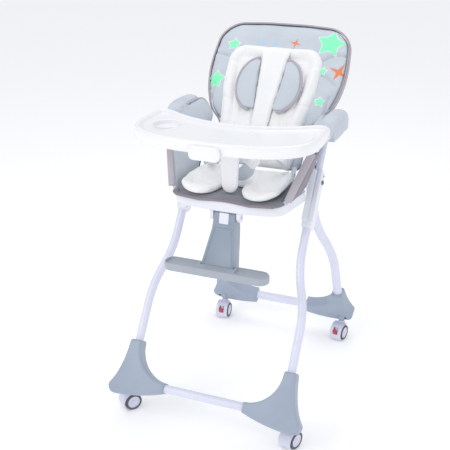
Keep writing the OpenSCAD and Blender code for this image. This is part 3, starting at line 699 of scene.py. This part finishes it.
board_cloth = soft_finish("board_cloth", weave_tone, linear(150, 160, 174), linear(136, 146, 160), 420, 0.4,
                          0.85)
board = slab(back_rim(0.008), 0.012, 0.004)
board.transform(on_back @ Matrix.Translation((0, 0.0303, 0)))
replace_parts(make_piece("backrest_board", board, "backrest", board_cloth), "backrest_shell")
ears = bmesh.new()
for sign in (-1, 1):
    ear = slab([(0.0230, 0.004), (0.0245, 0.060), (0.012, 0.060), (0.006, 0.030), (0.005, 0.004)],
               0.0104, 0.001, 2)
    join_mesh(ears, ear, on_back @ Matrix.Translation((sign * 0.1176, 0, 0)) @ SIDEWAYS)
    knuckle = turned([(0, -0.0052), (0.009, -0.0052), (0.010, -0.0042), (0.010, 0.0042), (0.009, 0.0052),
                      (0, 0.0052)], 36)
    join_mesh(ears, knuckle, Matrix.Translation((sign * 0.1176, 0.037 + centre_y, 0.646)) @ TO_X)
guide = slab(rect(-0.060, 0.215, 0.060, 0.262, 0.008), 0.009, 0.002, 2)
join_mesh(ears, guide, on_back @ Matrix.Translation((0, 0.0400, 0)))
make_piece("backrest_ears", ears, "backrest", shell_plastic)
grip = slab(rounded([(-0.052, 0.284), (0.052, 0.284), (0.052, 0.312), (0.035, 0.312), (0.032, 0.294),
                     (-0.032, 0.294), (-0.035, 0.312), (-0.052, 0.312)], 0.005), 0.0136, 0.0022, 3)
grip.transform(on_back @ Matrix.Translation((0, 0.0432, 0)))
for sign in (-1, 1):
    join_mesh(grip, turned([(0, 0.224), (0.0025, 0.224), (0.003, 0.2246), (0.003, 0.287), (0, 0.287)], 20),
              on_back @ Matrix.Translation((sign * 0.034, 0.0405, 0)))
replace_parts(make_piece("recline_handle_moulding", grip, "recline_handle", shell_plastic),
            "recline_handle")

# ---- Backrest cover ----
# The seat's padded back: light grey coated fabric, crowned towards its middle, with short quilting
# seams near its sides, a mauve binding round its edge and printed stars and sparkles.


def edge_distance(points, line, closed=True):
    """The distance of each (x, z) point to a line of (x, z) points."""
    line = np.array(line)
    start = line if closed else line[:-1]
    run = (np.roll(line, -1, axis=0) if closed else line[1:]) - start
    offset = points[:, None, :] - start[None]
    t = np.clip((offset * run).sum(2) / np.maximum((run ** 2).sum(1), 1e-12), 0, 1)
    return np.linalg.norm(offset - t[..., None] * run, axis=2).min(1)


def sewn(mesh, voxel=0.005, cap=0.007, free=None, pressure=4.0, shape=None):
    """A closed pad remeshed evenly, blown up by cloth simulation, smoothed once and then shaped.

    No point moves further than cap, times what free gives for it, and shape moves the final points.
    """
    scene = bpy.context.scene
    pad = bpy.data.objects.new("pad", bpy.data.meshes.new("pad"))
    mesh.to_mesh(pad.data)
    mesh.free()
    scene.collection.objects.link(pad)

    def settle():
        evaluated = pad.evaluated_get(bpy.context.evaluated_depsgraph_get())
        return bpy.data.meshes.new_from_object(evaluated)

    remesh = pad.modifiers.new("remesh", "REMESH")
    remesh.mode = "VOXEL"
    remesh.voxel_size = voxel
    even = settle()
    pad.modifiers.clear()
    pad.data = even
    still = np.empty(len(even.vertices) * 3)
    even.vertices.foreach_get("co", still)
    still = still.reshape(-1, 3)
    cloth = pad.modifiers.new("cloth", "CLOTH")
    cloth.settings.quality = 4
    cloth.settings.use_pressure = True
    cloth.settings.uniform_pressure_force = pressure
    cloth.settings.effector_weights.gravity = 0
    cloth.point_cache.frame_start = 1
    cloth.point_cache.frame_end = 20
    for step in range(1, 21):
        scene.frame_set(step)
    blown = settle()
    moved = np.empty(len(blown.vertices) * 3)
    blown.vertices.foreach_get("co", moved)
    moved = moved.reshape(-1, 3) - still
    pad.modifiers.clear()
    scene.frame_set(1)
    reach = np.linalg.norm(moved, axis=1, keepdims=True)
    moved *= np.minimum(1, cap / np.maximum(reach, 1e-9))
    if free is not None:
        moved *= free(still)[:, None]
    even.vertices.foreach_set("co", (still + moved).ravel())
    even.update()
    smooth = pad.modifiers.new("smooth", "SUBSURF")
    smooth.levels = smooth.render_levels = 1
    fine = settle()
    points = np.empty(len(fine.vertices) * 3)
    fine.vertices.foreach_get("co", points)
    points = points.reshape(-1, 3)
    if shape is not None:
        points = shape(points)
    fine.vertices.foreach_set("co", points.ravel())
    bpy.data.objects.remove(pad)
    done = bmesh.new()
    done.from_mesh(fine)
    return done


def channel(points, line, width, depth, closed=False):
    """How far a sewn seam along line pulls each point in."""
    away = edge_distance(points[:, [0, 2]], line, closed)
    return depth * np.exp(-(away / width) ** 2)


def tube(path, radii, closed=False, steps=12):
    """A round or flattened bar along a path of 3-D points; radii are across and along the normal."""
    mesh, rings = bmesh.new(), []
    count = len(path)
    path = [Vector(p) for p in path]
    for i, point in enumerate(path):
        ahead = path[(i + 1) % count] if closed or i < count - 1 else path[i]
        behind = path[i - 1] if closed or i > 0 else path[i]
        along = (ahead - behind).normalized()
        out = along.cross(Vector((0, 1, 0))).normalized()
        up = out.cross(along)
        rings.append([mesh.verts.new(point + out * radii[0] * math.cos(a) + up * radii[1] * math.sin(a))
                      for a in (math.tau * k / steps for k in range(steps))])
    for low, high in zip(rings, rings[1:] + (rings[:1] if closed else [])):
        for k in range(steps):
            mesh.faces.new((low[k], low[(k + 1) % steps], high[(k + 1) % steps], high[k]))
    if not closed:
        mesh.faces.new(rings[0][::-1])
        mesh.faces.new(rings[-1])
    bmesh.ops.recalc_face_normals(mesh, faces=mesh.faces)
    return mesh


SEAMS = [[(-0.214, 0.357), (-0.186, 0.354), (-0.150, 0.343)],
         [(0.126, 0.344), (0.150, 0.362), (0.178, 0.374), (0.209, 0.378)],
         [(0.132, 0.309), (0.160, 0.298), (0.184, 0.282)],
         [(-0.178, 0.255), (-0.181, 0.180), (-0.128, 0.120)],
         [(0.176, 0.240), (0.170, 0.180), (0.126, 0.110)]]


def crown_back(points):
    """Crowns the front of the backrest and presses its seams in."""
    front = np.clip((0.010 - points[:, 1]) / 0.008, 0, 1)
    away = edge_distance(points[:, [0, 2]], back_rim(0))
    points[:, 1] -= front * 0.006 * (1 - np.exp(-(away / 0.028) ** 2))
    for seam in SEAMS:
        points[:, 1] += front * channel(points, seam, 0.0042, 0.0058)
        points[:, 1] -= front * channel(points, [(x, z + 0.012) for x, z in seam], 0.009, 0.0018)
        points[:, 1] -= front * channel(points, [(x, z - 0.012) for x, z in seam], 0.009, 0.0018)
    ripple = np.sin(points[:, 0] * 61 + np.sin(points[:, 2] * 47) * 2.1) * np.sin(points[:, 2] * 39 + 1.3)
    points[:, 1] += front * 0.0007 * ripple
    return points


coated_grey = soft_finish("coated_grey", grain_tone, linear(206, 215, 223), linear(191, 200, 209), 800, 0.35,
                          0.52, Coat_Weight=0.08, Coat_Roughness=0.4)
coated_mauve = soft_finish("coated_mauve", grain_tone, linear(190, 184, 192), linear(174, 168, 178), 800,
                           0.35, 0.6)
cover = sewn(slab(back_rim(0.005), 0.0185, 0.007), 0.006, 0.005,
             lambda p: np.clip((0.009 - p[:, 1]) / 0.012, 0.15, 1), shape=crown_back)
cover.transform(Matrix.Translation((0, 0.0125, 0)))
relief = BVHTree.FromBMesh(cover)
cover.transform(on_back)
cover_piece = make_piece("backrest_cushion_cover", cover, "backrest", coated_grey, 60)
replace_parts(cover_piece, "backrest_cushion")


def bound_edge(inset, depth, radii, steps):
    """A bar round the backrest's edge, open at the hinge end."""
    edge = [(x, z) for x, z in back_rim(inset) if z > 0.050]
    edge.sort(key=lambda p: math.atan2(p[0], p[1] - 0.200))
    return tube([(x, depth, z) for x, z in edge], radii, steps=steps)


binding = bound_edge(0.0035, 0.0132, (0.0024, 0.0088), 16)
join_mesh(binding, bound_edge(0.0065, 0.0040, (0.0017, 0.0019), 10))
binding.transform(on_back)
make_piece("backrest_binding", binding, "backrest", coated_mauve, 70)


def on_relief(x, z, lift):
    """The point that far in front of the cover at (x, z) of the backrest's plane."""
    hit = relief.ray_cast(Vector((x, -0.2, z)), Vector((0, 1, 0)))[0]
    return Vector((x, (hit.y if hit else 0.006) - lift, z))


def printed(outline, centre, lift=0.0003, rings=8):
    """A thin print that follows the cover: an outline filled by rings shrinking to its centre."""
    mesh = bmesh.new()
    fine = []
    for a, b in zip(outline, outline[1:] + outline[:1]):
        fine += [(a[0] + (b[0] - a[0]) * k / 4, a[1] + (b[1] - a[1]) * k / 4) for k in range(4)]
    skins = []
    for over in (lift, lift - 0.0006):
        loops = []
        for r in range(rings):
            f = 1 - r / rings
            loops.append([mesh.verts.new(on_relief(centre[0] + (x - centre[0]) * f,
                                                   centre[1] + (z - centre[1]) * f, over)) for x, z in fine])
        tip = mesh.verts.new(on_relief(*centre, over))
        for low, high in zip(loops, loops[1:]):
            for i in range(len(fine)):
                j = (i + 1) % len(fine)
                mesh.faces.new((low[i], low[j], high[j], high[i]))
        for i in range(len(fine)):
            mesh.faces.new((loops[-1][i], loops[-1][(i + 1) % len(fine)], tip))
        skins.append(loops[0])
    for i in range(len(fine)):
        j = (i + 1) % len(fine)
        mesh.faces.new((skins[0][j], skins[0][i], skins[1][i], skins[1][j]))
    bmesh.ops.recalc_face_normals(mesh, faces=mesh.faces)
    return mesh


def star(centre, size, turn, points=5, waist=0.55):
    """A star's outline: its corners, and the notches between them at waist of the radius."""
    corners = []
    for k in range(points * 2):
        reach = size / 2 * (1 if k % 2 == 0 else waist)
        angle = turn + math.pi * k / points
        corners.append((centre[0] + reach * math.sin(angle), centre[1] + reach * math.cos(angle)))
    return corners


prints = {"mint": bmesh.new(), "white": bmesh.new(), "orange": bmesh.new(), "blue": bmesh.new()}
for centre, size, turn in (((0.148, 0.406), 0.086, 0.10), ((-0.146, 0.382), 0.040, 0.02),
                           ((-0.177, 0.266), 0.058, 0.0), ((0.143, 0.318), 0.024, 0.1),
                           ((0.152, 0.224), 0.028, 0.0)):
    outlined = rounded(star(centre, size + 0.007, turn), size * 0.06, 2)
    join_mesh(prints["mint"], printed(rounded(star(centre, size, turn), size * 0.05, 2), centre, 0.0007))
    join_mesh(prints["white"], printed(outlined, centre, 0.0004))
for centre, size, turn in (((0.043, 0.399), 0.036, 0.2), ((0.188, 0.321), 0.062, 0.35)):
    join_mesh(prints["orange"], printed(star(centre, size, turn, 4, 0.24), centre, 0.0006))
for centre in ((-0.062, 0.396), (-0.018, 0.397)):
    join_mesh(prints["blue"], printed(rect(centre[0] - 0.006, centre[1] - 0.009, centre[0] + 0.006,
                                           centre[1] + 0.009, 0.005), centre, 0.0005, 4))
for name, colour in (("mint", linear(140, 252, 194)), ("white", linear(236, 246, 246)),
                     ("orange", linear(245, 140, 92)), ("blue", linear(176, 214, 240))):
    prints[name].transform(on_back)
    ink = shader(f"ink_{name}", Base_Color=colour, Roughness=0.5)[0]
    make_piece(f"backrest_print_{name}", prints[name], "backrest", ink, 60)

# ---- White back insert ----
# A removable white pad tied over the backrest: a thick soft rim with a seam inside it, fine wrinkles
# at the top corners and long creases down the middle below the head pads.
insert_half = [(0.116, 0.006), (0.124, 0.020), (0.134, 0.156), (0.150, 0.250), (0.152, 0.320)]
CREASES = [[(-0.150, 0.330), (-0.105, 0.322)], [(-0.120, 0.392), (-0.092, 0.350)],
           [(0.150, 0.330), (0.108, 0.318)], [(0.118, 0.392), (0.094, 0.352)],
           [(-0.030, 0.394), (-0.026, 0.352)], [(0.048, 0.394), (0.042, 0.354)],
           [(-0.135, 0.210), (-0.098, 0.204)], [(0.136, 0.200), (0.100, 0.206)],
           [(-0.132, 0.13), (-0.095, 0.125)]]


def insert_rim(inset):
    half = ([(x - inset, z + (inset if i < 1 else 0)) for i, (x, z) in enumerate(insert_half)]
            + arc((0.096, 0.330), (0.056 - inset, 0.062 - inset), 0, 80, 10))
    return rounded(half + [(-x, z) for x, z in half[::-1]], 0.014, 5)


def quilt_insert(points):
    """Puffs the insert's rim, presses in the seam inside it and adds creases."""
    front = np.clip((0.004 - points[:, 1]) / 0.006, 0, 1)
    away = edge_distance(points[:, [0, 2]], insert_rim(0))
    points[:, 1] -= front * 0.006 * np.exp(-((away - 0.024) / 0.014) ** 2)
    points[:, 1] += front * 0.0055 * np.exp(-((away - 0.047) / 0.006) ** 2)
    for x0, bottom, top in ((-0.052, 0.03, 0.20), (-0.018, 0.03, 0.18), (0.020, 0.03, 0.19),
                            (0.055, 0.03, 0.20)):
        points[:, 1] += front * channel(points, [(x0, bottom), (x0 * 1.25, top)], 0.006, 0.0030)
    for line in CREASES:
        points[:, 1] += front * channel(points, line, 0.0045, 0.0024)
    fuzz = np.sin(points[:, 0] * 88 + np.sin(points[:, 2] * 63) * 1.7) * np.sin(points[:, 2] * 71)
    points[:, 1] += front * 0.0006 * fuzz
    return points


soft_white = soft_finish("soft_white", weave_tone, linear(251, 251, 250), linear(240, 240, 241), 520, 0.3,
                         0.9)
insert = sewn(slab(insert_rim(0.004), 0.013, 0.006), 0.005, 0.006,
              lambda p: np.clip((0.008 - p[:, 1]) / 0.010, 0.1, 1), shape=quilt_insert)
insert.transform(on_back @ Matrix.Translation((-0.006, -0.0080, -0.002)))
piece = make_piece("back_insert_pad", insert, "backrest", soft_white, 60)
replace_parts(piece, "back_insert")

# ---- Head pads ----
# Two light grey half-disc pads either side of the head, piped in mauve along their curved edges, and a
# long white tapering panel between them.
HEAD = (0.040, 0.263)
pad_grey = soft_finish("pad_grey", grain_tone, linear(206, 214, 222), linear(194, 203, 212), 700, 0.3, 0.6)
panel_rim = rounded([(-0.025, 0.112), (0.025, 0.112), (0.044, 0.366), (-0.044, 0.366)], 0.008)
white_panel = sewn(slab(panel_rim, 0.006, 0.0025), 0.003, 0.003,
                   lambda p: np.clip((0.002 - p[:, 1]) / 0.003, 0, 1))
white_panel.transform(on_back @ Matrix.Translation((-0.002, -0.0265, 0)))
piece = make_piece("head_panel", white_panel, "backrest", soft_white, 60)
half_disc = rounded([(0.030, 0.184)] + arc(HEAD, (0.066, 0.083), -76, 76, 20) + [(0.044, 0.342)], 0.006, 3)
half_disc = [(HEAD[0] + (x - HEAD[0]) * 0.96, HEAD[1] + (z - HEAD[1]) * 0.97) for x, z in half_disc]
pads, piping = bmesh.new(), bmesh.new()
for flip in (False, True):
    pad = sewn(slab(half_disc, 0.011, 0.005), 0.004, 0.004,
               lambda p: np.clip((0.004 - p[:, 1]) / 0.006, 0, 1))
    cord = tube([(x, 0.0, z) for x, z in arc(HEAD, (0.0655, 0.0825), -84, 84, 40)], (0.0042, 0.0048))
    for shape in (pad, cord):
        if flip:
            mirrored(shape)
    narrower = Matrix.Translation((-0.002, -0.0278, -0.010)) @ Matrix.Scale(0.92, 4, (1, 0, 0))
    join_mesh(pads, pad, on_back @ narrower)
    join_mesh(piping, cord, on_back @ narrower)
piece = make_piece("head_pads_pair", pads, "backrest", pad_grey, 60)
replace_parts(piece, "head_pads")
make_piece("head_pad_piping", piping, "backrest", coated_mauve, 70)

# ---- Seat cushion and white seat insert ----
# A thin grey seat cushion with a wavy mauve border hangs just over the pan's front edge. On it lies the
# white insert: two soft lobes that rise at their outer sides and part for the crotch strap.
coated_seat = soft_finish("coated_seat", grain_tone, linear(144, 147, 155), linear(129, 132, 142), 800, 0.35,
                          0.6)
# The binding's mauve cloth, darkened as painted shade, for the seat border and the side flanks.
mauve_painted_shade = soft_finish("mauve_painted_shade", grain_tone, linear(146, 139, 147), linear(130, 123, 132), 800, 0.35,
                         0.6)


def smooth_path(points, steps=10):
    """A curve through the given points."""
    points = [Vector(p) for p in points]
    padded = [points[0] * 2 - points[1]] + points + [points[-1] * 2 - points[-2]]
    curve = []
    for a, b, c, d in zip(padded, padded[1:], padded[2:], padded[3:]):
        for k in range(steps):
            t = k / steps
            curve.append(0.5 * (2 * b + (c - a) * t + (2 * a - 5 * b + 4 * c - d) * t * t
                                + (3 * b - a - 3 * c + d) * t ** 3))
    return curve + [points[-1]]


def seat_outline(w, y0, y1, inset=0.0):
    half = (arc((w - 0.025, y0 + 0.025), (0.025 - inset, 0.025 - inset), -90, 0, 8)
            + [(w - inset, -0.012), (0.134 - inset, -0.008), (0.134 - inset, y1 - inset)])
    return rounded(half + [(-x, y) for x, y in half[::-1]], 0.004, 3)


def dip_front(points):
    """Lets the cushion's front edge roll down over the pan; local -z is the front here."""
    over = np.clip((-0.150 - points[:, 2]) / 0.030, 0, 1)
    points[:, 1] += 0.006 * over ** 2
    return points


cushion = sewn(slab(seat_outline(0.148, -0.176, 0.018, 0.001), 0.0062, 0.0028), 0.005, 0.003,
               lambda p: np.clip((0.002 - p[:, 1]) / 0.004, 0, 1), shape=dip_front)
cushion.transform(SHIFT @ Matrix.Translation((0, 0, 0.6380)) @ FLAT)
piece = make_piece("seat_cushion_cover", cushion, "seat", coated_seat, 60)
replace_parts(piece, "seat_cushion")
hem = [(x, y) for x, y in seat_outline(0.150, -0.180, 0.018) if y < -0.030]
hem.sort(key=lambda p: math.atan2(p[0], -(p[1] + 0.05)))
hem = smooth_path([(x, y, 0) for x, y in hem], 4)
border = tube([(x, y, 0.6362 + 0.0030 * math.cos(x * 42)) for x, y, z in hem], (0.0042, 0.0085))
border.transform(SHIFT)
# The border's darker mauve is painted shade.
make_piece("seat_border", border, "seat", mauve_painted_shade, 70)

lobe = (arc((0, -0.128), (0.034, 0.034), 90, 10, 6) + [(0.040, -0.150), (0.054, -0.176), (0.084, -0.187),
                                                       (0.124, -0.180), (0.149, -0.152), (0.152, -0.090),
                                                       (0.146, -0.010), (0.130, 0.016)])
seat_plan = rounded(lobe + [(-x, y) for x, y in lobe[:0:-1]], 0.014, 5)


def lift_lobe(points):
    """Raises the lobe's outer side and sinks its middle where a child sits."""
    x, y = np.abs(points[:, 0]), points[:, 2]
    top = np.clip((0.006 - points[:, 1]) / 0.008, 0, 1)
    points[:, 1] -= 0.018 * np.clip((y + 0.020) / 0.034, 0, 1) ** 2
    points[:, 1] -= 0.017 * np.clip((x - 0.080) / 0.070, 0, 1) ** 2
    points[:, 1] -= top * 0.006 * np.exp(-((y + 0.165) / 0.018) ** 2)
    for sign in (-1, 1):
        inner = [(sign * 0.040, -0.020), (sign * 0.060, -0.110), (sign * 0.084, -0.160)]
        outer = [(sign * 0.112, -0.020), (sign * 0.112, -0.110), (sign * 0.100, -0.158)]
        points[:, 1] += top * channel(points, inner, 0.005, 0.0040)
        points[:, 1] += top * channel(points, outer, 0.005, 0.0035)
    return points


seat_plan = [(x * 0.965, -0.085 + (y + 0.085) * 0.96) for x, y in seat_plan]
seat_pad = sewn(slab(seat_plan, 0.018, 0.008), 0.005, 0.007,
                lambda p: np.clip((0.009 - p[:, 1]) / 0.012, 0.15, 1), shape=lift_lobe)
seat_pad.transform(SHIFT @ Matrix.Translation((0, 0, 0.6535)) @ FLAT)
piece = make_piece("seat_insert_pad", seat_pad, "seat", soft_white, 60)
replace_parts(piece, "seat_insert")

# ---- Side panels ----
# A mauve flank hangs outside each armrest down to the seat, darker than its edge as painted shade, with the
# lighter mauve edge along its sloping front. Inside it a light grey lining runs back to the backrest, welted
# along its top.
CLOTH, CLOTH_RIM = 0.0042, 0.0018                        # the two layers of a flank or a lining, and its edge
WING = rounded([(-0.150, 0.6385), (0.000, 0.6385), (0.034, 0.680), (0.118, 0.770), (0.132, 0.800),
                (0.122, 0.826), (0.070, 0.829), (0.004, 0.820), (-0.022, 0.788), (-0.058, 0.786),
                (-0.086, 0.746)], 0.008)
WING_TOP = [(0.126, 0.806), (0.121, 0.822), (0.098, 0.8275), (0.070, 0.829), (0.030, 0.8255), (0.004, 0.820)]


def lean_wing(points):
    """Leans the lining outwards at the armrest and lets it stand upright beside the backrest."""
    lean = np.clip(1 - (points[:, 0] + 0.030) / 0.110, 0.15, 1)
    points[:, 1] -= 0.1530 + 0.0042 * lean + (points[:, 2] - 0.642) * 0.335 * lean
    points[:, 1] -= (1 - lean) * 0.040 * np.clip((points[:, 2] - 0.775) / 0.055, 0, 1) ** 1.5
    points[:, 1] += 0.0012 * np.sin(points[:, 0] * 70) * np.sin(points[:, 2] * 52)
    return points


for side, flip in (("left", True), ("right", False)):
    outline = rounded([(-0.152, 0.000), (-0.030, 0.000), (-0.030, 0.122), (-0.074, 0.122),
                       (-0.090, 0.102)], 0.008)
    flank = sewn(slab(outline, CLOTH, CLOTH_RIM), 0.0035, 0.002)
    flank.transform(SIDEWAYS)
    rim = tube([(0, y, z) for y, z in ((-0.074, 0.122), (-0.090, 0.102), (-0.128, 0.040), (-0.150, 0.003))],
               (0.0105, 0.0042))
    rim.transform(Matrix.Translation((-0.0085, 0, 0)))
    place_flank = SHIFT @ Matrix.Translation((0.1738, 0, 0.642)) @ Matrix.Rotation(math.radians(19.2), 4, "Y")
    for shape in (flank, rim):
        shape.transform(place_flank)
        if flip:
            mirrored(shape)
    # The flank's darker mauve is painted shade.
    piece = make_piece(f"side_panel_{side}_cloth", flank, "seat", mauve_painted_shade, 60)
    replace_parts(piece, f"side_panel_{side}")
    make_piece(f"side_edge_{side}", rim, "seat", coated_mauve, 70)
    wing = sewn(slab(WING, CLOTH, CLOTH_RIM), 0.0035, 0.0015, shape=lean_wing)
    welt_line = lean_wing(np.array(smooth_path([(y, 0.0, z) for y, z in WING_TOP], 6)))
    welt = tube(welt_line.tolist(), (0.0022, 0.0022))
    for shape in (wing, welt):
        shape.transform(SHIFT @ SIDEWAYS)
        if flip:
            mirrored(shape)
    make_piece(f"side_wing_welt_{side}", welt, "seat", coated_mauve, 70)
    piece = make_piece(f"side_wing_{side}_cloth", wing, "seat", coated_grey, 60)

# ---- Arm pads ----
# Soft egg-shaped rolls slipped over the armrests, fatter at the front end, with a few wrinkles.
paint_nodes(coated_grey, "armrest_left", "armrest_right")
PAD_AXIS = Vector((0.2250, 0.058, 0.8020))


def wrinkle_arm(points):
    """Soft creases across the roll."""
    y = points[:, 1]
    for at, lean, depth in ((-0.040, 0.25, 0.0020), (0.004, -0.3, 0.0016), (0.036, 0.2, 0.0018)):
        away = y - at - lean * points[:, 0]
        pull = depth * np.exp(-(away / 0.005) ** 2)
        radius = np.maximum(np.linalg.norm(points[:, [0, 2]], axis=1), 1e-6)
        points[:, 0] -= points[:, 0] / radius * pull
        points[:, 2] -= points[:, 2] / radius * pull
    return points


for side, flip in (("left", True), ("right", False)):
    rings = []
    for k in range(19):
        t = k / 18
        y = -0.080 + 0.160 * t
        swell = max(1 - abs(2 * t - 1) ** (3.2 if t < 0.5 else 5.5), 0.02) ** 0.5 * (1.04 - 0.10 * t)
        ring = []
        for j in range(36):
            c, s = math.cos(math.tau * j / 36), math.sin(math.tau * j / 36)
            ring.append((math.copysign(abs(c) ** 0.8, c) * 0.0295 * swell, y,
                         math.copysign(abs(s) ** 0.8, s) * 0.0355 * swell))
        rings.append(ring)
    roll = sewn(loft(rings), 0.005, 0.004, shape=wrinkle_arm)
    roll.transform(SHIFT @ Matrix.Translation(PAD_AXIS))
    if flip:
        mirrored(roll)
    piece = make_piece(f"armrest_pad_{side}_roll", roll, "seat", coated_grey, 60)
    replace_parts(piece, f"armrest_pad_{side}")

# ---- Harness ----
# A padded grey crotch strap leans up to a white buckle, and white webbing runs from it, turning on its
# way, to the seat's sides.
webbing = soft_finish("webbing", weave_tone, linear(232, 232, 238), linear(220, 220, 228), 900, 0.5, 0.8)
crotch_rim = rounded([(-0.016, 0.664), (0.018, 0.664), (0.044, 0.686), (0.048, 0.712), (0.020, 0.718),
                      (-0.006, 0.696)], 0.010)
crotch = sewn(slab(crotch_rim, 0.008, 0.0035, 3), 0.003, 0.0025)
crotch.transform(SHIFT @ Matrix.Translation((0.006, -0.088, 0)))
piece = make_piece("crotch_strap_pad", crotch, "seat", pad_grey, 60)
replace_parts(piece, "crotch_strap")
buckle = slab(rounded([(-0.016, 0.7002), (0.016, 0.7002), (0.021, 0.708), (0.021, 0.732), (0.013, 0.740),
                       (-0.013, 0.740), (-0.021, 0.732), (-0.021, 0.708)], 0.004), 0.013, 0.003)
join_mesh(buckle, slab(rect(-0.009, 0.708, 0.009, 0.728, 0.005), 0.004, 0.0012, 2),
          Matrix.Translation((0, -0.0065, 0)))
buckle.transform(SHIFT @ Matrix.Translation((0.036, -0.0912, 0.716))
                 @ Matrix.Rotation(math.radians(38), 4, "Y") @ Matrix.Translation((0, 0, -0.705)))
piece = make_piece("harness_buckle_moulding", buckle, "seat", tray_plastic)
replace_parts(piece, "harness_buckle")


def strap(path, width, thick, twist=0.0):
    """Flat webbing along a path of 3-D points: it starts on edge and turns by twist on its way."""
    mesh, rings = bmesh.new(), []
    path = [Vector(p) for p in path]
    for i, point in enumerate(path):
        along = (path[min(i + 1, len(path) - 1)] - path[max(i - 1, 0)]).normalized()
        side = Vector((-along.y, along.x, 0)).normalized() * thick / 2
        up = Vector((0, 0, width / 2))
        turn = Matrix.Rotation(twist * i / (len(path) - 1), 3, along)
        side, up = turn @ side, turn @ up
        rings.append([point + side * a + up * b for a, b in (
            (-1, -0.9), (-0.6, -1), (0.6, -1), (1, -0.9), (1, 0.9), (0.6, 1), (-0.6, 1), (-1, 0.9))])
    return loft(rings)


BELT, BELT_THICK = 0.020, 0.0018
left_belt = [(-0.040, -0.092, 0.722), (-0.054, -0.078, 0.734), (-0.068, -0.056, 0.716),
             (-0.082, -0.040, 0.700), (-0.098, -0.020, 0.686), (-0.110, -0.006, 0.676)]
right_belt = [(0.056, -0.090, 0.738), (0.072, -0.070, 0.752), (0.084, -0.052, 0.732),
              (0.096, -0.034, 0.716), (0.104, -0.016, 0.696), (0.112, -0.004, 0.678)]
across = [(0.030, -0.094, 0.730), (0.006, -0.098, 0.728), (-0.018, -0.098, 0.722), (-0.041, -0.091, 0.722)]
belts = bmesh.new()
for path, twist in ((right_belt, -2.4), (left_belt, 1.9), (across, 0.3)):
    join_mesh(belts, strap(smooth_path(path), BELT, BELT_THICK, twist), SHIFT)
piece = make_piece("waist_straps_webbing", belts, "seat", webbing)
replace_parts(piece, "waist_straps")
